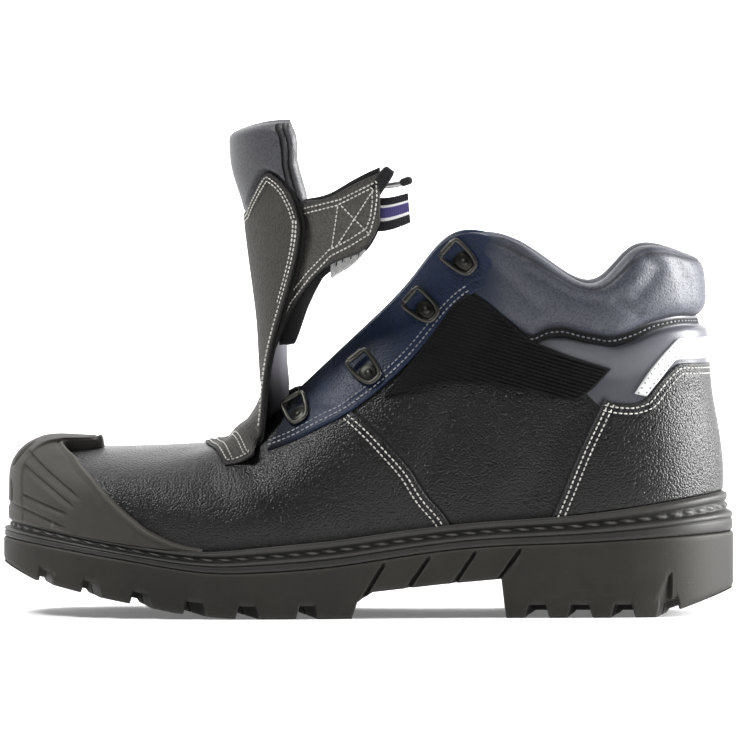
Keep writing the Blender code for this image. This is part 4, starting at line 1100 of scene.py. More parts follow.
def vamp_seam():
    """u of the vamp's rear edge as a function of v, on the outer side, carried on straight at both ends."""
    seam = find(VAMP_EDGE)[::-1]
    slope_low = (seam[1, 0] - seam[0, 0]) / (seam[1, 1] - seam[0, 1])
    slope_high = (seam[-1, 0] - seam[-2, 0]) / (seam[-1, 1] - seam[-2, 1])
    low = (seam[0, 0] - slope_low * seam[0, 1], 0.0)
    high = (seam[-1, 0] + slope_high * (1.1 - seam[-1, 1]), 1.1)
    knots = np.vstack([low, seam, high])
    return spline(knots[:, 1], knots[:, 0])


def collar_seam():
    """v of the collar's seam as a function of u, the same on both halves."""
    seam = np.vstack([find(COLLAR_SEAM), (0.5, v_at_height(0.5, COLLAR_BACK_Z))])
    soft = softened(seam, 241, 60)
    return lambda u: np.interp(folded(u), soft[:, 0], soft[:, 1])


seam_u, seam_v = vamp_seam(), collar_seam()
COLLAR_START = find(COLLAR_SEAM[:1])[0, 0]


def seam_distance(u, v):
    """How far a place lies behind the vamp's rear edge, which runs slanted; below 0 on the vamp."""
    ahead = np.linalg.norm(wall_point(u + STEP, v) - wall_point(u, v), axis=-1) / STEP
    return (folded(u) - seam_u(v)) * ahead * 0.85


def below_collar(u, v):
    """How far a place lies below the collar's seam, measured up the wall."""
    return (seam_v(u) - v) * np.linalg.norm(wall_point(u, v + STEP) - wall_point(u, v), axis=-1) / STEP


def panel_distance(at):
    """How far a place lies behind the front edge of the soft panel, in a side view."""
    (x, z), (far_x, far_z) = PANEL_LINE
    run = np.array([far_x - x, far_z - z]) / np.hypot(far_x - x, far_z - z)
    return (at[..., 2] - z) * run[0] - (at[..., 0] - x) * run[1]


def lap(past, shape):
    """Relief of a layer that ends on a line: a rounded step that fades out behind it, and a groove before it.

    past is how far a place lies past the line, below 0 on the layer.
    """
    layer = rolled(-past, shape.radius) * (1 - smooth((-past - shape.level) / shape.fade)) * shape.step
    return np.where(past < 0, layer, -shape.groove * hump(past, 0.9))


def upper_relief(u, v):
    """How far the leather stands off the smooth upper: two laps, padded panel, filled heel, soft creases."""
    u, v = np.broadcast_arrays(np.asarray(u, float), np.asarray(v, float))
    fold, at, below = folded(u), wall_point(u, v), below_collar(u, v)
    z = at[..., 2]
    lift = lap(seam_distance(u, v), VAMP_LAP) * (1 - smooth((z - VAMP_LAP_TOP) / 5))
    padded = smooth((below - 3.6) / 2.2) * (1 - smooth((below - 7) / 12))
    lift = lift + PAD_RISE * padded * smooth((fold - COLLAR_START - 0.03) / 0.03)
    lift = lift + HEEL_FILL * hump(z - HEEL_FILL_Z, HEEL_FILL_TALL) * smooth((fold - HEEL_U) / 0.06)
    shown = (u % 1 > 0.5) * (below > 0) * smooth((z - PANEL_LAP_LOW) / 3)
    lift = lift + lap(panel_distance(at), PANEL_LAP) * shown
    side = at[..., [0, 2]]
    for line, width, depth in CREASES:
        lift = lift - depth * hump(line_distance(side, line), width)
    return lift


def laid(u, v, lift=0.0):
    """A point on the finished upper, lift above its leather."""
    return upper(u, v, upper_relief(u, v) + lift)


def upper_grid():
    """u and v of the upper's mesh: stations drawn to the vamp's seam, rows that follow the collar's seam."""
    middle = float(seam_u(0.5))
    close = np.array([-2.4, -1.6, -1.0, -0.6, -0.35, -0.2, -0.1, 0, 0.1, 0.25, 0.5, 0.9, 1.5]) / UPPER_ROUND
    even = np.linspace(0, 1, 380, endpoint=False)
    s = np.unique(np.concatenate([even, middle + close, 1 - middle - close]))[:, None]
    rows = np.concatenate([np.linspace(0, 1, 112), [0.9985], SEAM_ROW - np.arange(0, 0.05, 0.0026)])
    rows = np.unique(rows.round(5))
    seam = seam_v(s)
    above = seam + (1 - seam) * (rows - SEAM_ROW) / (1 - SEAM_ROW)
    v = np.where(rows < SEAM_ROW, seam * rows / SEAM_ROW, above)
    pull = 1 - smooth(np.abs(folded(s) - middle) / 0.12)
    shift = pull * (seam_u(v) - middle)
    return s + np.where(s < 0.5, shift, -shift), v


def upper_shade(u, v, out):
    """Painted shade in recesses: under the collar, before the counter, over the sole's lip and behind the
    vamp's edge.
    """
    fold = folded(u)
    recess = 2.2 - 1.2 * smooth((fold - HEEL_U) / 0.05)
    collar = 0.98 * (1 - smooth((np.abs(below_collar(u, v) - 1.8) - recess) / 0.7))
    collar = collar * smooth((fold - COLLAR_START - 0.02) / 0.01)
    counter = 0.85 * hump(line_distance(out[..., [0, 2]], COUNTER_FRONT), 1.5)
    lip = 0.85 * hump(np.maximum(out[..., 2] - lip_z(out[..., 0]), 0), 2.4)
    vamp = 0.8 * hump(seam_distance(u, v) - 0.5, 0.7)
    return np.maximum.reduce([collar, counter, lip, vamp])


def build_upper(finish):
    """Vamp and quarters: a skin of leather with its relief, and a separate lining inside it."""
    u, v = upper_grid()
    out = laid(u, v)
    inside = np.r_[v.shape[1] - 1 : 0 : -3, 0]
    skin = np.concatenate([out, upper(u[:, inside], v[:, inside], -SKIN)], axis=1)
    values = {"panel": np.clip(panel_distance(out) / 0.5 + 0.5, -6, 7), "shade": upper_shade(u, v, out)}
    values = {key: np.concatenate([value, value[:, inside]], axis=1) for key, value in values.items()}
    quads = grid_quads(*skin.shape[:2], round_rows=True, round_columns=True)
    leather_finish = finish["black_leather"]
    add_piece("upper", skin.reshape(-1, 3), [quads], leather_finish, ["upper"], "black_leather", values)
    u, v = np.meshgrid(np.linspace(0, 1, 160, endpoint=False), np.linspace(0, 0.998, 40), indexing="ij")
    lining = np.concatenate([upper(u, v, -SKIN - 0.05), upper(u, v, -WALL)[:, ::-1]], axis=1)
    quads = grid_quads(*lining.shape[:2], round_rows=True, round_columns=True)
    add_piece("upper_lining", lining.reshape(-1, 3), [quads], finish["lining_fabric"], (), "lining_fabric")


def sewn(name, u, v, wall, finish, slot, relief=0.0, radius=1.1, rows=(), **edges):
    """Sheet laid on the upper, rounded at its edges, pressed in along its rows of stitches."""
    near = edge_distance(upper(u, v))
    seam = edge_distance(upper(u, v), **edges)
    height = rolled(near, radius) * wall + relief * smooth(near / 2) - pressed(seam, rows, 0.28)
    verts, faces = closed_sheet(laid(u, v, height), laid(u, v, -SUNK), BACK_STEP)
    values = {"rim": on_both(np.exp(-near / 1.4), BACK_STEP)}
    add_piece(name, verts, faces, finish, [name], slot, values)


# Toe cap: its wall, a band over the toe's middle that rises to a lip, a crown, and where its tail thins out
CAP_WALL, CAP_BAND_RISE, CAP_LIP_RISE, CAP_CROWN, CAP_TAIL = 3.6, 0.5, 0.7, 2.8, 34.0
CAP_CROWN_X, CAP_CROWN_LONG, CAP_CROWN_HALF, CAP_CROWN_Z = -139.5, 13.0, 36.0, 50.0
# Bead and groove along the cap's edge: distance from it, and height or depth
CAP_BEAD, CAP_BEAD_RISE, CAP_GROOVE, CAP_GROOVE_DEPTH = 1.3, 0.35, 2.9, 0.45
CAP_TUCK = 0.004  # how far its foot reaches behind the sole's lip, in v
# Slots and fan of steps on each side of it, seen from the side
CAP_SLOT_DEPTH, CAP_SLOT_HALF, CAP_STEP_DEPTH = 1.7, 1.2, 1.2
CAP_SLOTS = (((-135.1, 72.5), (-146.1, 61.5)), ((-148.2, 56.0), (-148.6, 48.3)))
CAP_FANS = (
    ((-140.7, 65.3), (-119.2, 49.2)), ((-141.8, 61.5), (-121.5, 45.8)),
    ((-144.0, 51.3), (-124.4, 43.7)), ((-149.9, 48.3), (-124.4, 37.7)),
)


def cap_grid(edge, run):
    """u and v from the sole's lip to the cap's edge on both sides, share of that way, run along the edge."""
    travel = np.unique(np.concatenate([np.linspace(0, run[-1], 100), np.linspace(6, 46, 90)]))
    edge_u, edge_v = (np.interp(travel, run, column) for column in edge.T)
    foot_u = edge[-1, 0] * travel / run[-1]
    foot_v = v_lip(foot_u) - CAP_TUCK
    edge_v = np.maximum(edge_v, np.interp(edge_u, foot_u, foot_v) + 0.006)
    tight = 1 - np.array([0.004, 0.009, 0.016, 0.024, 0.034])
    up = np.unique(np.concatenate([np.linspace(0, 1, 112), tight]))
    u = foot_u[:, None] * (1 - up) + edge_u[:, None] * up
    v = foot_v[:, None] * (1 - up) + edge_v[:, None] * up
    travel = np.concatenate([-travel[:0:-1], travel])[:, None]
    return np.concatenate([-u[:0:-1], u]), np.concatenate([v[:0:-1], v]), up, travel


def fan_step(side, start, stop):
    """A step down below a line in the side view, as a share of its depth, and the painted shade in the corner
    under it.
    """
    way = stop - start
    long = np.hypot(*way)
    share = (side - start) @ way / long**2
    above = (side - start) @ np.array([-way[1], way[0]]) / long
    reach = smooth(share / 0.06) * smooth((1 - share) / 0.2)
    step = smooth((0.2 - above) / 0.4) * (1 - smooth((-above - 0.3) / 2.6))
    return step * reach, 0.8 * hump(above + 0.1, 0.45) * reach


def build_toe_cap(finish):
    """Moulded cap between the sole's lip and its own edge: raised middle band, slots, fan of steps, bead."""
    edge = softened(np.concatenate([find_in_plan(CAP_BACK), find(CAP_EDGE)]), 241, 8)
    edge[0] = (0.0, edge[1, 1])
    run = run_of(upper(edge[:, 0], edge[:, 1]))
    u, v, up, travel = cap_grid(edge, run)
    flat = upper(u, v)
    x, y, z = np.moveaxis(flat, -1, 0)
    near, side = edge_distance(flat, low=False), flat[..., [0, 2]]
    shoulder = run[edge[:, 0].searchsorted(find_in_plan(CAP_BACK[-1:])[0, 0])]
    band = 1 - smooth((np.abs(travel) - shoulder + 2.0) / 1.6)
    height = CAP_WALL + CAP_BAND_RISE * band + CAP_LIP_RISE * band * smooth((up - 0.55) / 0.3)
    crown = hump(x - CAP_CROWN_X, CAP_CROWN_LONG) * smooth((CAP_CROWN_HALF - np.abs(y)) / 24)
    height = height + CAP_CROWN * crown * smooth((z - CAP_CROWN_Z) / 14)
    height = height * rolled(near, 1.5 + 3.4 * band * smooth((np.abs(y) - 3) / 3))
    height += CAP_BEAD_RISE * hump(near - CAP_BEAD, 0.7) - CAP_GROOVE_DEPTH * hump(near - CAP_GROOVE, 0.7)
    cut = np.zeros_like(height)
    for line in CAP_SLOTS:
        slot = smooth((CAP_SLOT_HALF - line_distance(side, line)) / 0.5)
        cut = np.maximum(cut, slot * smooth((np.abs(y) - 3) / 4))
    height -= CAP_SLOT_DEPTH * cut
    for start, stop in np.array(CAP_FANS):
        step, corner = fan_step(side, start, stop)
        height -= CAP_STEP_DEPTH * step
        cut = np.maximum(cut, corner)
    height *= 0.3 + 0.7 * smooth((run[-1] - np.abs(travel)) / CAP_TAIL)
    verts, faces = closed_sheet(upper(u, v, np.maximum(height, 0.05)), upper(u, v, -SUNK), BACK_STEP)
    # painted shade in the slots and under the fan's steps, the middle band darker towards its top end, and
    # painted highlight along the bead
    cut = np.maximum(cut, 0.6 * band * smooth((up - 0.5) / 0.35))
    values = {"shade": 0.85 * cut, "rim": 0.5 * hump(near - CAP_BEAD, 0.9) * (1 - 0.6 * band)}
    values = {key: on_both(value, BACK_STEP) for key, value in values.items()}
    add_piece("toe_cap", verts, faces, finish["cap_rubber"], ["toe_cap"], "cap_rubber", values)


def build_counter(finish):
    """Counter round the heel, from a slanted seam on the outer side to its mirror image on the inner."""
    up = edged(60)
    across = np.unique(np.concatenate([np.linspace(0, 1, 90), [0.002, 0.006, 0.011]]))[:, None]
    knots = np.linspace(0, 1, 15)
    seam = spline(knots, softened(find(along(COUNTER_FRONT, knots)), len(knots), 2))(up)
    top = np.vstack([find(COUNTER_TOP), (0.5, v_at_height(0.5, COUNTER_BACK_Z))])
    top = softened(top, 201, 30)
    u = seam[:, 0] * (1 - across) + 0.5 * across
    high = np.interp(u[:, -1:], top[:, 0], top[:, 1])
    low = v_lip(u[:, :1]) - 0.004
    u, v = round_heel(u, True), round_heel(low + (high - low) * up)
    sewn("heel_counter", u, v, LEATHER, finish["black_leather"], "black_leather", rows=EDGE_ROWS, low=False)
    front, top, rear = ((u[0], v[0]), (u[:, -1], v[:, -1]), (u[-1, ::-1], v[-1, ::-1]))
    return [np.stack(line, axis=1)[2:-2] for line in (front, top, rear)]


BAND_WALL = 1.1


def build_reflective_band(finish):
    """Pale band, filled in between its lower and upper edge, and level round the back of the heel."""
    share = edged(14, (0.02, 0.06, 0.12))
    low, high = (softened(find(along(line, np.linspace(0, 1, 12))), 60, 4) for line in (BAND_LOW, BAND_HIGH))
    u = low[:, :1] * (1 - share) + high[:, :1] * share
    v = low[:, 1:] * (1 - share) + high[:, 1:] * share
    turn = np.linspace(0, 1, 60)[1:, None]
    back = u[-1] * (1 - turn) + 0.5 * turn
    z = BAND_BACK_LOW * (1 - share) + BAND_BACK_HIGH * share
    u = np.concatenate([u, back])
    v = np.concatenate([v, v_at_height(back, np.broadcast_to(z, back.shape))])
    for _ in range(6):
        u[1:-1] = (u[:-2] + 2 * u[1:-1] + u[2:]) / 4
        v[1:-1] = (v[:-2] + 2 * v[1:-1] + v[2:]) / 4
    u, v = round_heel(u, True), round_heel(v)
    sewn("reflective_band", u, v, BAND_WALL, finish["reflective"], "reflective", radius=0.6)
    return u, v


# Collar: share of its height over the seam, and how far it stands off the upper; over the rim and inside
COLLAR_PROFILE = (
    (0.000, 0.1), (0.010, 1.2), (0.04, 3.0), (0.10, 5.0), (0.22, 6.6), (0.42, 7.3), (0.62, 7.4), (0.79, 7.0),
    (0.91, 5.8), (0.985, 3.6), (1.015, 0.8), (1.0, -2.2), (0.94, -4.2), (0.84, -5.2), (0.68, -5.4),
    (0.50, -5.0), (0.34, -4.2), (0.24, -3.2), (0.19, -2.3), (0.10, -1.2),
)
COLLAR_TALL, COLLAR_FOOT, COLLAR_RIM = 34.0, 0.1, 0.98  # about its height; where its swell and its rim begin
COLLAR_THIN = 0.12  # share of its swell at its front ends
BINDING_AT, BINDING_DEPTH = 0.92, 0.5  # groove under its rim
# Soft folds on its outside, seen from the side: line, width, depth
COLLAR_FOLDS = (
    (((115.0, 153.0), (119.0, 148.0), (116.0, 142.0), (112.0, 137.0)), 3.2, 1.0),
    (((88.0, 140.5), (100.0, 139.0), (110.0, 141.0)), 4.0, -0.7),
    (((70.0, 146.0), (84.0, 137.0), (96.0, 133.0)), 2.6, 0.9),
    (((52.0, 150.0), (62.0, 141.0), (72.0, 131.0)), 3.0, 0.7),
    (((104.0, 134.0), (112.0, 128.0)), 2.4, 0.7),
    (((58.0, 160.0), (66.0, 154.0)), 2.4, 0.6),
    (((126.0, 150.0), (130.0, 140.0), (131.5, 131.0)), 2.4, 0.7),
)


def build_collar(finish):
    """Padded roll: its profile, from the seam over the rim to the inside, swept round the ankle.

    It is thinner at its front ends, gathered along its seam, and has soft folds and a groove under its rim.
    """
    profile = np.array(COLLAR_PROFILE)
    span = run_of(profile * (COLLAR_TALL, 1.0))
    share, off = spline(span / span[-1], profile)(np.linspace(0, 1, 80)).T
    half = np.linspace(COLLAR_START - 0.002, 0.5, 160)
    half = np.unique(np.concatenate([half, half[0] + np.array([0.0006, 0.0014, 0.0026])]))
    around = np.concatenate([half, 1 - half[-2::-1]])[:, None]
    end = (folded(around) - half[0]) * UPPER_ROUND
    rise = np.where(share > COLLAR_RIM, COLLAR_RIM + (share - COLLAR_RIM) * smooth(end / 14), share)
    low = seam_v(around)
    v = low + (1 + (COLLAR_TOP - 1) * smooth(end / 24) - low) * rise
    u = np.broadcast_to(around, v.shape)
    swell = COLLAR_THIN + (1 - COLLAR_THIN) * smooth(end / 34)
    lift = np.where(off > COLLAR_FOOT, COLLAR_FOOT + (off - COLLAR_FOOT) * swell, off)
    outside = smooth(lift / 2.0)
    side = upper(u, v)[..., [0, 2]]
    for line, width, depth in COLLAR_FOLDS:
        lift = lift - depth * outside * hump(line_distance(side, line), width)
    binding = hump(share - BINDING_AT, 0.025) * (off > 0) * smooth(end / 20)
    gathers = np.sin(around * 190 + 3 * np.sin(around * 60)) * hump(share - 0.12, 0.12)
    verts, faces = closed_tube(upper(u, v, lift - BINDING_DEPTH * binding + 0.3 * gathers * outside))
    # painted shade in the recess along the seam; the groove under the rim is painted dark as well
    recess = 0.95 * (1 - smooth(np.abs(share) / 0.08)) * (off > 0) * smooth((end - 22) / 10)
    front = (1 - smooth((end - 2) / 17)) * (off > -3)
    values = {"panel": front, "shade": np.maximum(recess, 0.75 * binding)}
    values = {key: np.append(value, np.zeros(2)) for key, value in values.items()}
    made = add_piece("collar", verts, faces, finish["collar_leather"], ["collar"], "soft_leather", values)


# Eyestay past the throat's edge: share of its width down the inside, where its front and its back lie
EYESTAY_TURN = (
    (0.0, 1.2, -0.2), (0.0, -0.6, -0.9), (0.0, -2.6, -2.0), (0.03, -3.2, -2.3), (0.12, -3.3, -2.35),
    (0.22, -3.0, -2.38),
)
THROAT_EDGE, EYESTAY_ROUND = 1.004, 1.1


def build_eyestays(finish):
    """Strip along each side of the throat, folded over the throat's edge to the inside."""
    low = softened(find(EYESTAY_LOW), 161, 12)
    u = np.interp(edged(110), np.linspace(0, 1, 161), low[:, 0])
    start = np.interp(u, low[:, 0], low[:, 1])[:, None]
    up = np.unique(np.concatenate([edged(34), [0.97]]))
    inside, front, back = np.array(EYESTAY_TURN).T
    turned = np.where(inside > 0, 1 - (1 - start) * inside, THROAT_EDGE)
    v = np.concatenate([start + (1.0 - start) * up, turned], axis=1)
    grid = np.broadcast_to(u[:, None], v.shape)
    flat = upper(grid, v)
    shown = flat[:, : len(up)]
    wall = rolled(edge_distance(shown, high=False), EYESTAY_ROUND) * LEATHER
    wall = wall - pressed(edge_distance(shown, False, False, True, False), (2.0, 4.4), 0.25)
    ends = rolled(edge_distance(flat, True, True, False, False), EYESTAY_ROUND)[:, len(up):]
    base = upper_relief(grid, v)
    base[:, len(up):] = base[:, len(up) - 1 : len(up)]
    lift = base + np.concatenate([wall, np.where(front > -1, front * ends, front)], axis=1)
    sunk = np.concatenate([0 * wall - SUNK, np.broadcast_to(back, turned.shape)], axis=1)
    # painted shade: darker towards the eyestay's front end
    dark = 0.95 * (1 - smooth((flat[..., 0] + 40) / 24))
    values = {"rim": on_both(np.exp(-edge_distance(flat) / 1.4)), "shade": on_both(dark)}
    for side, around in (("outer", grid), ("inner", 1 - grid)):
        name = f"eyestay_{side}"
        verts, faces = closed_sheet(upper(around, v, lift), upper(around, v, base * (sunk > -0.5) + sunk))
        add_piece(name, verts, faces, finish["navy_leather"], [name], "soft_leather", values)
    return low


PATCH_WALL, PATCH_RIB, PATCH_PITCH = 1.6, 0.45, 1.55  # its thickness, height and spacing of its ribs
PATCH_ACROSS = (0.282, 0.959)  # direction across the ribs in a side view


def build_loop_patch(finish):
    """Fastener patch, filled in between its four edges, with ribs that follow its rear top edge."""
    s, t = np.linspace(0, 1, 25), np.linspace(0, 1, 13)
    low, high = (softened(line, len(s), 1)[:, None] for line in (PATCH_LOW, PATCH_TOP))
    left, right = (softened(line, len(t), 1)[None] for line in (PATCH_LEFT, PATCH_RIGHT))
    a, b = s[:, None, None], t[None, :, None]
    low_corners = (1 - a) * low[:1] + a * low[-1:]
    high_corners = (1 - a) * high[:1] + a * high[-1:]
    flat = (1 - b) * (low - low_corners) + b * (high - high_corners) + (1 - a) * left + a * right
    uv = spline(s, find(flat.reshape(-1, 2)).reshape(len(s), len(t), 2))(edged(150))
    u, v = spline(t, np.swapaxes(uv, 0, 1))(edged(90)).T
    at = upper(u, v)
    way = PATCH_ACROSS[0] * at[..., 0] + PATCH_ACROSS[1] * at[..., 2]
    ribs = np.sin(2 * np.pi * way / PATCH_PITCH)
    sewn("loop_patch", u, v, PATCH_WALL, finish["loop_fabric"], "loop_fabric", relief=PATCH_RIB * ribs,
         radius=0.9, rows=(2.0,))


# Tongue, flap and strap

FLAP_SEWN, FLAP_FULL_ROW = 0.35, 2.4  # share of the flap's wall at its sewn end, row where it is full


def flap_wall(rows):
    """Thickness of the flap, about a third as much at its sewn end."""
    return FLAP_WALL * (FLAP_SEWN + (1 - FLAP_SEWN) * smooth(np.asarray(rows, float) / FLAP_FULL_ROW))


NET_ROWS, NET_ACROSS = 50, 100  # samples in a row of the table, and across half of the flap


def tongue_net():
    """Samples of the flap's front face, its rows joined by a spline, and the normals there."""
    across = np.linspace(-1, 1, 2 * NET_ACROSS + 1)
    bow = across**2
    table = []
    for r in BASE_ROWS:
        places = np.stack([r.x + r.back * bow, TONGUE_MIDDLE_Y + r.half * across], axis=1)
        u, v = find_in_plan(places).T
        table.append(upper(u, v, r.gap + flap_wall(len(table))))
    for r in TONGUE_ROWS:
        y = TONGUE_MIDDLE_Y + r.half * across
        table.append(np.stack([r.x + r.sweep * bow, y, r.z - r.hang * bow], axis=1))
    last = len(table) - 1
    at = spline(np.arange(len(table)), np.array(table))(np.linspace(0, last, last * NET_ROWS + 1))
    return at, unit(np.cross(np.gradient(at, axis=0), np.gradient(at, axis=1)))


TONGUE_AT, TONGUE_NORMAL = tongue_net()


def tongue_front(rows, across, lift=0.0):
    """A point on the flap's front face: rows counts the table from the flap's base, across is -1 to 1.

    Between the samples it is filled in straight, and beyond the last ones carried on.
    """
    rows, across, lift = np.broadcast_arrays(*(np.asarray(a, float) for a in (rows, across, lift)))
    i, j = rows * NET_ROWS, (across + 1) * NET_ACROSS
    a, b = (np.clip(k, 0, count - 2).astype(int) for k, count in zip((i, j), TONGUE_AT.shape))
    s, t = (i - a)[..., None], (j - b)[..., None]

    def blend(net):
        low = net[a, b] * (1 - t) + net[a, b + 1] * t
        return low * (1 - s) + (net[a + 1, b] * (1 - t) + net[a + 1, b + 1] * t) * s

    return blend(TONGUE_AT) + lift[..., None] * unit(blend(TONGUE_NORMAL))


def flap_top(across):
    """Row of the flap's top edge at a share of its width."""
    soft = softened(FLAP_TOP, 161, 3)
    return FLAP_TOP_ROW + np.interp(np.abs(across), soft[:, 0], soft[:, 1])


def two_faced(name, surface, a, b, wall, finish, slot, radius=1.0, nodes=None, rows=(), wave=0.0, behind=0.0):
    """Sheet some way behind a surface of two numbers: front and back, both rounded off at every edge.

    Rows of stitches press its front in, and a wave moves both faces.
    """
    near = edge_distance(surface(a, b, -behind))
    down = radius * (1 - rolled(near, radius))
    front = wave - down - pressed(near, rows, 0.25)
    back = down - wall + wave
    verts, faces = closed_sheet(surface(a, b, front - behind), surface(a, b, back - behind))
    values = {"rim": on_both(np.exp(-near / 1.2))}
    add_piece(name, verts, faces, finish, [name] if nodes is None else nodes, slot, values)


LINING_ROW, LINING_SHORT, LINING_WIDE, FLAP_LINING_WALL = 2.75, 0.1, 1.5 / 38, 0.9


def flap_wave(rows, across):
    """Slow waves of the flap, which die out towards its sewn end."""
    return 0.5 * np.sin(rows * 1.1 + 2 * across) * np.sin(across * 3 + 0.6) * smooth((rows - 2) / 2)


def build_flap(finish):
    """The flap, thin where it is sewn to the vamp, and its black lining, a little wider."""
    across = edged(92) * 2 - 1
    rows = edged(124)[:, None] * flap_top(across)
    across = np.broadcast_to(across, rows.shape)
    wall = flap_wall(rows)
    two_faced("flap", tongue_front, rows, across, wall, finish["flap_leather"], "flap_leather",
              0.5 * wall, rows=FLAP_ROWS, wave=flap_wave(rows, across))
    across = np.linspace(-1, 1, 56)
    rows = LINING_ROW + np.linspace(0, 1, 80)[:, None] * (flap_top(across) - LINING_ROW - LINING_SHORT)
    across = np.broadcast_to(across * (1 + LINING_WIDE), rows.shape)
    two_faced("flap_lining", tongue_front, rows, across, FLAP_LINING_WALL, finish["loop_fabric"],
              "loop_fabric", 0.4, nodes=(), wave=flap_wave(rows, across), behind=FLAP_WALL - 0.2)


# Tongue: its side seam in front of its middle, half the piping there, swell over the flap, half its width
TONGUE_SEAM, PIPING, TONGUE_SWELL, TONGUE_HALF = 3.5, 0.6, 3.4, 42.0
PINCH, PIPING_RISE, PIPING_ROW = 1.7, 0.3, 7.9  # depth beside the piping, its rise, the row where it begins
BOXY, FULL = 0.42, 0.75  # powers that shape its section, across and in depth
FRONT_ROUND, BACK_ROUND = 0.28, 0.8  # rounding of its top end, in rows


def tongue_turns():
    """Angles round a section of the tongue, close together at its side seam and even across its faces."""
    near = (np.arange(0.2, 7.4, 0.24) / 7.8) ** (1 / FULL)
    even = np.linspace(-0.96, 0.96, 49)
    even = np.arccos(np.sign(even) * np.abs(even) ** (1 / BOXY))
    turn = np.sort(np.concatenate([np.linspace(0, np.pi, 31)[1:-1], near, np.pi - near, even]))
    turn = turn[np.concatenate([[True], np.diff(turn) > 2e-4])]
    return np.concatenate([[0], turn, [np.pi], 2 * np.pi - turn[::-1]])


def build_tongue(finish):
    """Pillow behind the flap: rounded sections across it, pinched on both sides of a piped side seam.

    Over the flap's top edge it swells forward, less so in the middle.
    """
    table = softened(PAD_ROWS, 241, 8)
    end = PAD_ROWS[-1].row
    tight = end - np.array([0.005, 0.015, 0.03, 0.05, 0.08])
    rows = np.unique(np.concatenate([np.linspace(PAD_ROWS[0].row, end, 150), tight]))[:, None]
    share, front, back = (np.interp(rows, table[:, 0], table[:, k]) for k in (1, 2, 3))
    turn = tongue_turns()
    c, s = np.cos(turn), np.sin(turn)
    close = np.where(s > 0, rolled(end - rows, FRONT_ROUND), rolled(end - rows, BACK_ROUND))
    across = share * np.sign(c) * np.abs(c) ** BOXY
    over = smooth((rows - flap_top(np.clip(across, -1, 1)) + 0.02) / 0.22)
    aside = np.maximum(smooth((np.abs(across) - 0.35) / 0.4), smooth((rows - 7.7) / 1.7))
    swell = TONGUE_SWELL * over * (0.5 + 0.5 * aside)
    middle, half = (front + back) / 2, (front - back) / 2 + np.where(s > 0, swell, 0)
    bulge = half * np.sign(s) * np.abs(s) ** FULL
    beyond = bulge - TONGUE_SEAM
    pinch = PINCH * hump(np.abs(beyond) - PIPING, 0.42) - PIPING_RISE * hump(beyond, 0.5)
    pinch = pinch * smooth((rows - PIPING_ROW) / 0.5) * smooth((np.abs(c) - 0.4) / 0.3) * close
    across = across - pinch / TONGUE_HALF * np.sign(c)
    sunk = 0.34 * across**4 * smooth((rows - 8.6) / 1.5)
    verts, faces = zipped_tube(tongue_front(rows - sunk, across, middle + bulge * (0.05 + 0.95 * close)))
    satin = np.broadcast_to(1 - smooth((rows - 4.9) / 0.5), across.shape)
    # painted shade beside the piping and at the tongue's lower end, down in the throat
    shade = np.maximum(0.95 * smooth(pinch / 1.1), 1 - smooth((rows - 2.9) / 2.0))
    made = add_piece("tongue", verts, faces, finish["tongue_leather"], ["tongue"], "soft_leather",
                     {"shade": shade, "panel": satin})


strap_lines = spline([r.x for r in STRAP_ROWS], [(r.low, r.high, r.out) for r in STRAP_ROWS])
STRAP_WALL, LINING_WALL, HOOK_WALL = 2.0, 1.2, 0.8
# Hook tape: how far it reaches below the strap's lower edge, by x, and up behind it
HOOK_BELOW, HOOK_ABOVE = ((-17.0, 4.6), (-16.2, 5.8), (-9.0, 4.6), (-1.6, 1.0)), 3.0


def strap_face(x, share, lift=0.0):
    """A point on the strap's outer face: x along it, share from its lower to its upper edge."""
    x, share, lift = np.broadcast_arrays(*(np.asarray(a, float) for a in (x, share, lift)))
    low, high, out = np.moveaxis(strap_lines(x), -1, 0)
    turn = -(strap_lines(x + 0.05)[..., 2] - strap_lines(x - 0.05)[..., 2]) / 0.1
    away = unit(np.stack([turn, -np.ones_like(x), np.zeros_like(x)], axis=-1))
    return np.stack([x, -out, low + (high - low) * share], axis=-1) + lift[..., None] * away


def build_strap(finish):
    """The strap between its two edges, its black lining, which shows past them, and rough hook tape below."""
    first, last = STRAP_ROWS[0].x, STRAP_ROWS[-1].x
    x, share = np.meshgrid(first + (last - first) * edged(90), edged(70), indexing="ij")
    two_faced("strap", strap_face, x, share, STRAP_WALL, finish["strap_leather"], "flap_leather", 0.9)
    x, share = np.meshgrid(np.linspace(first + 1, last - 0.3, 70), np.linspace(0, 1, 60), indexing="ij")
    low, high, _ = np.moveaxis(strap_lines(x), -1, 0)
    below, above = np.interp(x, *zip(*LINING_BELOW)), np.interp(x, *zip(*LINING_ABOVE))
    reach = ((high - low + below + above) * share - below) / (high - low)
    two_faced("strap_lining", strap_face, x, reach, LINING_WALL, finish["webbing"], "loop_fabric", 0.5,
              behind=STRAP_WALL + 0.1)
    ends = HOOK_BELOW[0][0], HOOK_BELOW[-1][0]
    x, share = np.meshgrid(np.linspace(*ends, 90), np.linspace(0, 1, 24), indexing="ij")
    low, high, _ = np.moveaxis(strap_lines(x), -1, 0)
    below = np.interp(x, *zip(*HOOK_BELOW))
    reach = ((below + HOOK_ABOVE) * share - below) / (high - low)
    comb = 0.22 * np.sin(2 * np.pi * (x + 2.2 * share) / 3.1)
    comb = comb + 0.12 * np.sin(2 * np.pi * (x - 3 * share) / 1.3)
    two_faced("hook_tape", strap_face, x, reach, HOOK_WALL, finish["hook_tape"], None, 0.3, nodes=(),
              wave=comb, behind=STRAP_WALL - 0.05)


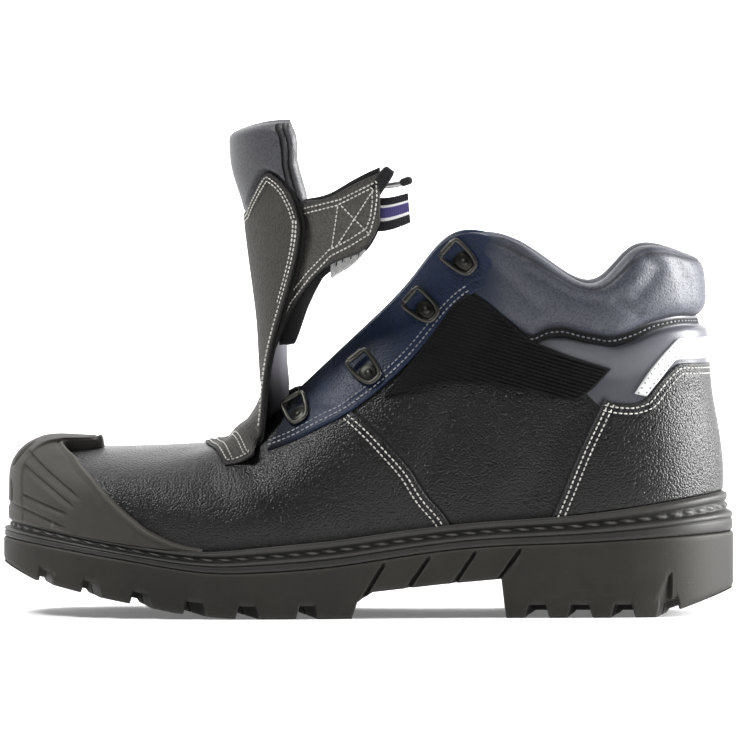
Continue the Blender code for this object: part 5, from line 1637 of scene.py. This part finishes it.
# Striped tape end and keeper: places of their middle lines, half widths by x
TAPE_PATH = (
    (2.6, -43.6, 171.0), (6.0, -44.2, 170.8), (10.0, -44.6, 171.4), (14.0, -44.2, 172.5),
    (17.4, -43.4, 173.6),
)
TAPE_HALF, TAPE_UP, TAPE_WALL = ((2.6, 7.4), (8.0, 6.9), (17.4, 6.3)), (-0.08, 0.05, 1.0), 1.2
TAPE_LONG = 16.0  # about its length, for its weave
KEEPER_PATH = ((2.6, -43.4, 180.6), (5.0, -43.8, 184.2), (7.4, -44.2, 187.6), (9.4, -44.4, 190.2))
KEEPER_HALF = ((2.6, 3.0), (7.0, 2.9), (8.6, 2.6), (9.4, 1.9))
KEEPER_UP, KEEPER_WALL = (0.80, 0.0, -0.60), 2.2
# Rods at the keeper: path, radius, finish
KEEPER_RODS = {
    "keeper_tip": (((4.4, -43.6, 182.8), (9.5, -43.9, 183.1), (14.0, -44.1, 184.0)), 1.2, "pale_metal"),
    "keeper_cap": (((13.2, -44.1, 183.8), (16.0, -44.1, 184.8), (18.6, -44.0, 185.6)), 1.75, "webbing"),
}
ROD_END = 0.05  # radius that is left at the end of a rounded rod


def rounded_ribbon(grid, wall):
    """Sheet of a wall's thickness behind a grid, rounded along its edges."""
    away = unit(np.cross(np.gradient(grid, axis=0), np.gradient(grid, axis=1)))
    radius = 0.45 * wall
    down = radius * (1 - rolled(edge_distance(grid), radius))[..., None]
    return closed_sheet(grid - away * down, grid - away * (wall - down))


def ribbon(path, half, up, count):
    """Grid along a path, spread to both sides of it by half in the direction up, and the shares across it."""
    run = run_of(np.array(path))
    line = spline(run, path)(np.linspace(0, run[-1], count))
    share = edged(18, (0.02, 0.05))
    wide = np.interp(line[:, 0], *zip(*half))[:, None, None]
    return line[:, None] + (share[None, :, None] * 2 - 1) * wide * np.asarray(up, float), share


def build_tapes(finish):
    """Striped tape end, and the black keeper with its tip, at the strap's end."""
    grid, share = ribbon(TAPE_PATH, TAPE_HALF, TAPE_UP, 60)
    wide = np.broadcast_to(share, grid.shape[:2])
    run = np.broadcast_to(np.linspace(0, TAPE_LONG, len(grid))[:, None], grid.shape[:2])
    values = {"share": on_both(wide), "along": on_both(run)}
    verts, faces = rounded_ribbon(grid, TAPE_WALL)
    add_piece("pull_tape", verts, faces, finish["striped_tape"], ["pull_tape"], "striped_tape", values)
    grid, _ = ribbon(KEEPER_PATH, KEEPER_HALF, KEEPER_UP, 60)
    verts, faces = rounded_ribbon(grid, KEEPER_WALL)
    add_piece("keeper_loop", verts, faces, finish["webbing"], ["keeper_loop"], "loop_fabric")
    for name, (path, girth, colour) in KEEPER_RODS.items():
        line = spline(np.linspace(0, 1, len(path)), path)(np.linspace(0, 1, 30))
        run = run_of(line)
        radius = girth * rolled(np.minimum(run, run[-1] - run), girth) + ROD_END
        add_piece(name, *closed_tube(round_rings(line, radius, 14)), finish[colour])


def round_rings(line, radius, sides, closed=False):
    """Rings of a round rod along an open line, or along a closed one."""
    ahead = unit(np.roll(line, -1, 0) - np.roll(line, 1, 0) if closed else np.gradient(line, axis=0))
    side = unit(np.cross(ahead, (0.05, 0.02, 1.0)))
    over = np.cross(side, ahead)
    turn = np.linspace(0, 2 * np.pi, sides, endpoint=False)[:, None]
    ring = np.cos(turn) * side[:, None] + np.sin(turn) * over[:, None]
    return line[:, None] + np.broadcast_to(radius, len(line))[:, None, None] * ring


# Lace rings: plate, as share of its half sizes and height, from its rivet out
PLATE_PROFILE = (
    (0.01, 2.3), (0.14, 2.25), (0.26, 2.0), (0.34, 1.6), (0.42, 1.5), (0.60, 1.4), (0.78, 1.1), (0.92, 0.7),
    (1.0, 0.2), (1.0, -0.5), (0.01, -0.5),
)
PLATE_HALF, PLATE_MIDDLE, PLATE_BOXY = (4.6, 4.2), 0.7, 0.85
# Half of the wire's path: towards the throat, aside, up
WIRE_HALF = (
    (-4.2, 1.3, 1.3), (-3.2, 3.1, 1.4), (0.0, 4.4, 1.6), (4.0, 4.9, 2.1), (8.0, 5.1, 2.8), (9.5, 4.4, 3.0),
    (9.8, 2.4, 3.0),
)
RING_WIRE, BAR_RADIUS, BAR_HALF = 1.0, 1.25, 3.8


def ring_shape():
    """Domed plate turned about its rivet, a straight bar at the throat, a wire bent along a closed path."""
    turn = np.linspace(0, 2 * np.pi, 28, endpoint=False)
    outline = np.stack([np.cos(turn), np.sin(turn)], axis=-1)
    outline = np.sign(outline) * np.abs(outline) ** PLATE_BOXY * PLATE_HALF
    grow, z = np.array(PLATE_PROFILE).T[..., None]
    x = outline[:, 0] * grow + PLATE_MIDDLE * np.minimum(1, grow * 1.6)
    plate = np.stack(np.broadcast_arrays(x, outline[:, 1] * grow, z), axis=-1)
    half = np.array(WIRE_HALF)
    path = np.concatenate([half * (1, -1, 1), half[::-1]])
    line = spline(np.arange(len(path)) / len(path), path, closed=True)(np.linspace(0, 1, 80, endpoint=False))
    wire = round_rings(line, RING_WIRE, 12, closed=True)
    y = np.linspace(-BAR_HALF, BAR_HALF, 24)
    bar_line = np.stack([0 * y + WIRE_HALF[-1][0], y, 0 * y + WIRE_HALF[-1][2]], axis=1)
    bar = round_rings(bar_line, BAR_RADIUS * rolled(BAR_HALF - np.abs(y), 0.8) + ROD_END, 14)
    parts = [closed_tube(plate), closed_tube(bar)]
    parts.append((wire.reshape(-1, 3), [grid_quads(*wire.shape[:2], round_rows=True, round_columns=True)]))
    return parts


def outward(verts, faces):
    """Faces of a closed part, turned so that they look outwards: the sum of its corner volumes is above 0."""
    tris = [f[:, [0, k, k + 1]] for f in faces for k in range(1, f.shape[1] - 1)]
    a, b, c = (verts[corner] for corner in np.concatenate(tris).T)
    return faces if (a * np.cross(b, c)).sum() > 0 else [f[:, ::-1] for f in faces]


def joined(parts):
    """Several closed parts as one list of vertices and faces."""
    verts, faces, start = [], [], 0
    for points, groups in parts:
        verts.append(points)
        faces += [f + start for f in outward(points, groups)]
        start += len(points)
    return np.concatenate(verts), faces


def build_lace_rings(finish):
    """Eight rings on the eyestays, each square to the leather, its bar towards the throat's edge, turned."""
    parts = ring_shape()
    places = find([place[:2] for place in LACE_RINGS])
    for k, ((u, v), (_, _, degrees)) in enumerate(zip(places, LACE_RINGS), start=1):
        for side, around, sense in (("outer", u, 1), ("inner", 1 - u, -1)):
            place = laid(around, v, LEATHER - 0.2)
            normal = unit(upper(around, v, 1.0) - upper(around, v))
            ahead = unit(np.cross(normal, LOOPS[3](around + 0.01) - LOOPS[3](around - 0.01)))
            turn = sense * np.radians(degrees)
            ahead = np.cos(turn) * ahead + np.sin(turn) * np.cross(normal, ahead)
            axes = np.stack([ahead, np.cross(normal, ahead), normal])
            verts, faces = joined([(points @ axes + place, groups) for points, groups in parts])
            name = f"lace_ring_{side}_{k}"
            add_piece(name, verts, faces, finish["dark_metal"], [name], "dark_metal")


# Stitches: spacing, length, thickness
Stitch = namedtuple("Stitch", "pitch long thick")
SEAM_STITCH, COLLAR_STITCH = Stitch(2.25, 1.6, 0.66), Stitch(2.25, 1.4, 0.6)
BAND_STITCH = Stitch(2.5, 0.8, 0.55)
FLAP_STITCH, FLAP_SIDE_STITCH = Stitch(1.9, 1.4, 0.62), Stitch(2.0, 1.5, 0.95)
STITCH_RISE = 0.12  # how far a stitch's middle lies over the surface
COLLAR_ROW, BAND_ROW, FOOT_ROW = 1.7, 1.2, 2.2  # distances of single rows from their edges
SIDE_ROW_STARTS = (3.3, 5.7)  # where the rows along the flap's sides begin, in rows of the table


def beside(surface, curve, distance):
    """A curve on a surface, moved sideways on it by a distance, to the left of its run."""
    a, b = curve.T
    at = surface(a, b)
    by_a = (surface(a + STEP, b) - surface(a - STEP, b)) / (2 * STEP)
    by_b = (surface(a, b + STEP) - surface(a, b - STEP)) / (2 * STEP)
    left = np.cross(unit(np.cross(by_a, by_b)), unit(np.gradient(at, axis=0))) * distance
    aa, ab, bb = (by_a**2).sum(-1), (by_a * by_b).sum(-1), (by_b**2).sum(-1)
    pa, pb = (by_a * left).sum(-1), (by_b * left).sum(-1)
    size = aa * bb - ab**2
    return curve + np.stack([(pa * bb - pb * ab) / size, (pb * aa - pa * ab) / size], axis=1)


def stitch_shape():
    """One stitch of unit half length and girth: a rounded rod along the first axis, and its faces."""
    s = np.array([-0.98, -0.8, -0.35, 0.35, 0.8, 0.98])[:, None]
    turn = np.linspace(0, 2 * np.pi, 6, endpoint=False)
    girth = np.sqrt(1 - s**4)
    rings = np.stack(np.broadcast_arrays(s, girth * np.cos(turn), girth * np.sin(turn)), axis=-1)
    verts, faces = closed_tube(rings)
    return verts, outward(verts, faces)


def stitches(name, rows, finish, size):
    """Rows of stitches as one piece: the same small rod set at even steps along curves on surfaces."""
    shape, shape_faces = stitch_shape()
    verts, faces, start = [], [], 0
    for surface, curve in rows:
        run = run_of(surface(*curve.T))
        count = max(2, int(round(run[-1] / size.pitch)))
        s = (np.arange(count) + 0.5) / count * run[-1]
        a, b = (np.interp(s, run, column) for column in curve.T)
        before, after = (surface(*(np.interp(s + d, run, column) for column in curve.T)) for d in (-0.4, 0.4))
        ahead = unit(after - before)
        by_a, by_b = surface(a + STEP, b) - surface(a - STEP, b), surface(a, b + STEP) - surface(a, b - STEP)
        up = unit(np.cross(by_a, by_b))
        side = np.cross(up, ahead)
        middle = surface(a, b) + STITCH_RISE * up
        axes = np.stack([ahead * size.long / 2, side * size.thick / 2, up * size.thick / 2], axis=1)
        verts.append((middle[:, None] + shape @ axes).reshape(-1, 3))
        offsets = start + np.arange(count)[:, None, None] * len(shape)
        faces += [(f[None] + offsets).reshape(-1, f.shape[1]) for f in shape_faces]
        start += count * len(shape)
    add_piece(name, np.concatenate(verts), faces, finish)


def both_sides(curve):
    """A curve on the outer half and its mirror image on the inner half."""
    return curve, inner_side(curve)


def on_layer(u, v):
    """A point on a layer of leather sewn to the upper, a little pressed in."""
    return laid(u, v, LEATHER - 0.25)


def on_band(u, v):
    """A point on the reflective band, a little pressed in."""
    return laid(u, v, BAND_WALL - 0.1)


def stitch_upper(finish, counter_edge, eyestay_low, band):
    """Seams of the upper: vamp, counter and inner panel in pale thread, the others in darker thread."""
    shown = eyestay_low[eyestay_low[:, 0] < COLLAR_START - 0.003]
    rows = [(on_layer, c) for distance in EDGE_ROWS for c in both_sides(beside(upper, shown, distance))]
    stitches("eyestay_stitches", rows, finish["eyestay_thread"], SEAM_STITCH)
    start = find(COLLAR_SEAM[3:4])[0, 0]
    u = np.linspace(start, 1 - start, 600)
    seam = beside(upper, np.stack([u, seam_v(u)], axis=1), -COLLAR_ROW)
    stitches("collar_stitches", [(laid, seam)], finish["eyestay_thread"], COLLAR_STITCH)
    v = np.linspace(v_lip(np.array(seam_u(0.1))) + 0.01, find(VAMP_EDGE[:1])[0, 1] - 0.015, 160)
    seam = np.stack([seam_u(v), v], axis=1)
    rows = []
    for distance in VAMP_ROWS:
        rows += [(laid, c) for c in both_sides(beside(upper, seam, distance))]
    rows += [(on_layer, beside(upper, edge, -distance)) for edge in counter_edge for distance in EDGE_ROWS]
    panel = find(along(PANEL_LINE, np.linspace(0.04, 0.97, 40)))
    rows += [(laid, inner_side(beside(upper, panel, -distance))) for distance in PANEL_ROWS]
    stitches("seam_stitches", rows, finish["thread"], SEAM_STITCH)
    low, high = (np.stack([band[0][:, k], band[1][:, k]], axis=1) for k in (0, -1))
    rows = [(on_band, beside(upper, low, BAND_ROW)), (on_band, beside(upper, high, -BAND_ROW))]
    stitches("band_stitches", rows, finish["dark_thread"], BAND_STITCH)


def stitch_flap(finish):
    """Seams of the flap along its sides, its top and its sewn end, and of the strap."""
    rows, side_rows = [], []
    for side in (-1, 1):
        for distance, low in zip(FLAP_ROWS, SIDE_ROW_STARTS):
            near = np.linspace(low, flap_top(1.0) + 0.12, 200)
            edge = np.stack([near, np.full(200, 1.0 * side)], axis=1)
            side_rows.append((tongue_front, beside(tongue_front, edge, -side * distance)))
        foot = np.stack([np.linspace(0.12, 2.0, 80), np.full(80, 0.99 * side)], axis=1)
        rows.append((tongue_front, beside(tongue_front, foot, -side * FOOT_ROW)))
    across = np.linspace(-0.985, 0.985, 400)
    edge = np.stack([flap_top(across), across], axis=1)
    for distance in FLAP_ROWS:
        row = beside(tongue_front, edge, distance)
        rows.append((tongue_front, row[np.abs(row[:, 1]) < 0.975]))
    across = np.linspace(-0.93, 0.93, 200)
    rows += [(tongue_front, np.stack([np.full(200, r), across], axis=1)) for r in BASE_STITCHES]
    for line in STRAP_STITCHES:
        x, z = along(line, np.linspace(0, 1, 200)).T
        low, high, _ = np.moveaxis(strap_lines(x), -1, 0)
        rows.append((strap_face, np.stack([x, (z - low) / (high - low)], axis=1)))
    stitches("flap_stitches", rows, finish["thread"], FLAP_STITCH)
    stitches("flap_side_stitches", side_rows, finish["thread"], FLAP_SIDE_STITCH)


# Stage, light and camera

CAMERA_AWAY, CAMERA_UP = 6000.0, 2.0  # distance, degrees above level
PICTURE_WIDE = 312.1
PICTURE_MIDDLE = (-0.2, -25.0, 105.2)
ROOM_LIGHT, FLOOR_GLOW, WALL_GLOW = 0.105, 0.16, 0.95
GREY = (0.80, 0.80, 0.80)
# Corners of the floor and of the wall behind the shoe, in metres
FLOOR = ((-9, -9, 0), (9, -9, 0), (9, 9, 0), (-9, 9, 0))
BACK_WALL = ((-6, 1.6, -0.1), (6, 1.6, -0.1), (6, 1.6, 4), (-6, 1.6, 4))
# Lamps: name, place in metres, size across and power
LAMPS = (
    ("key", (-1.0, -0.45, 1.6), 0.7, 36),
    ("heel_side", (1.4, 0.12, 0.42), 0.9, 62),
    ("above_behind", (0.1, 0.8, 1.7), 1.0, 8),
)
LAMPS_AIM = (0.0, 0.0, 0.09)


def build_stage():
    """Pale floor, and a bright wall behind the shoe that is seen only from its front."""
    for name, corners, glow in (("floor", FLOOR, FLOOR_GLOW), ("wall", BACK_WALL, WALL_GLOW)):
        light = {"emission_color": (1, 1, 1), "emission_strength": glow}
        f = Finish(name, roughness=0.9, specular_ior_level=0.0, **light)
        f.done(base_color=f.mix(f.noise(3.0, 2.0), GREY, times(GREY, 1.02)))
        if name == "wall":
            f.done(alpha=1 - f.node("ShaderNodeNewGeometry", output="Backfacing"))
        mesh = bpy.data.meshes.new(name)
        mesh.from_pydata(corners, [], [(0, 1, 2, 3)])
        mesh.materials.append(f.material)
        sheet = bpy.data.objects.new(name, mesh)
        bpy.context.scene.collection.objects.link(sheet)


def add_light(name, place, size, power):
    """A round lamp that looks at the middle of the shoe."""
    data = bpy.data.lights.new(name, "AREA")
    data.shape = "DISK"
    data.size, data.energy = size, power
    lamp = bpy.data.objects.new(name, data)
    lamp.location = place
    lamp.rotation_euler = (Vector(LAMPS_AIM) - Vector(place)).to_track_quat("-Z", "Y").to_euler()
    bpy.context.scene.collection.objects.link(lamp)


def light_and_camera():
    """Even light all round, the lamps, and a far camera square to the outer side, a little above it."""
    scene = bpy.context.scene
    world = bpy.data.worlds.new("studio")
    world.use_nodes = True
    background = world.node_tree.nodes["Background"].inputs
    background["Color"].default_value = (1, 1, 1, 1)
    background["Strength"].default_value = ROOM_LIGHT
    scene.world = world
    for lamp in LAMPS:
        add_light(*lamp)
    data = bpy.data.cameras.new("camera")
    data.lens = data.sensor_width * CAMERA_AWAY / PICTURE_WIDE
    camera = bpy.data.objects.new("camera", data)
    tilt = np.radians(CAMERA_UP)
    away = np.array([0, -np.cos(tilt), np.sin(tilt)]) * CAMERA_AWAY
    camera.location = (np.array(PICTURE_MIDDLE) + away) * MM
    camera.rotation_euler = (np.pi / 2 - tilt, 0, 0)
    scene.collection.objects.link(camera)
    scene.camera = camera
    scene.view_settings.view_transform = "Standard"


def main():
    """The whole scene, piece by piece."""
    finish = make_finishes()
    build_outsole(finish)
    build_midsole(finish)
    build_insole(finish)
    build_upper(finish)
    build_toe_cap(finish)
    counter_edge = build_counter(finish)
    band = build_reflective_band(finish)
    build_collar(finish)
    eyestay_low = build_eyestays(finish)
    build_loop_patch(finish)
    build_flap(finish)
    build_tongue(finish)
    build_strap(finish)
    build_tapes(finish)
    build_lace_rings(finish)
    stitch_upper(finish, counter_edge, eyestay_low, band)
    stitch_flap(finish)
    build_stage()
    light_and_camera()


main()
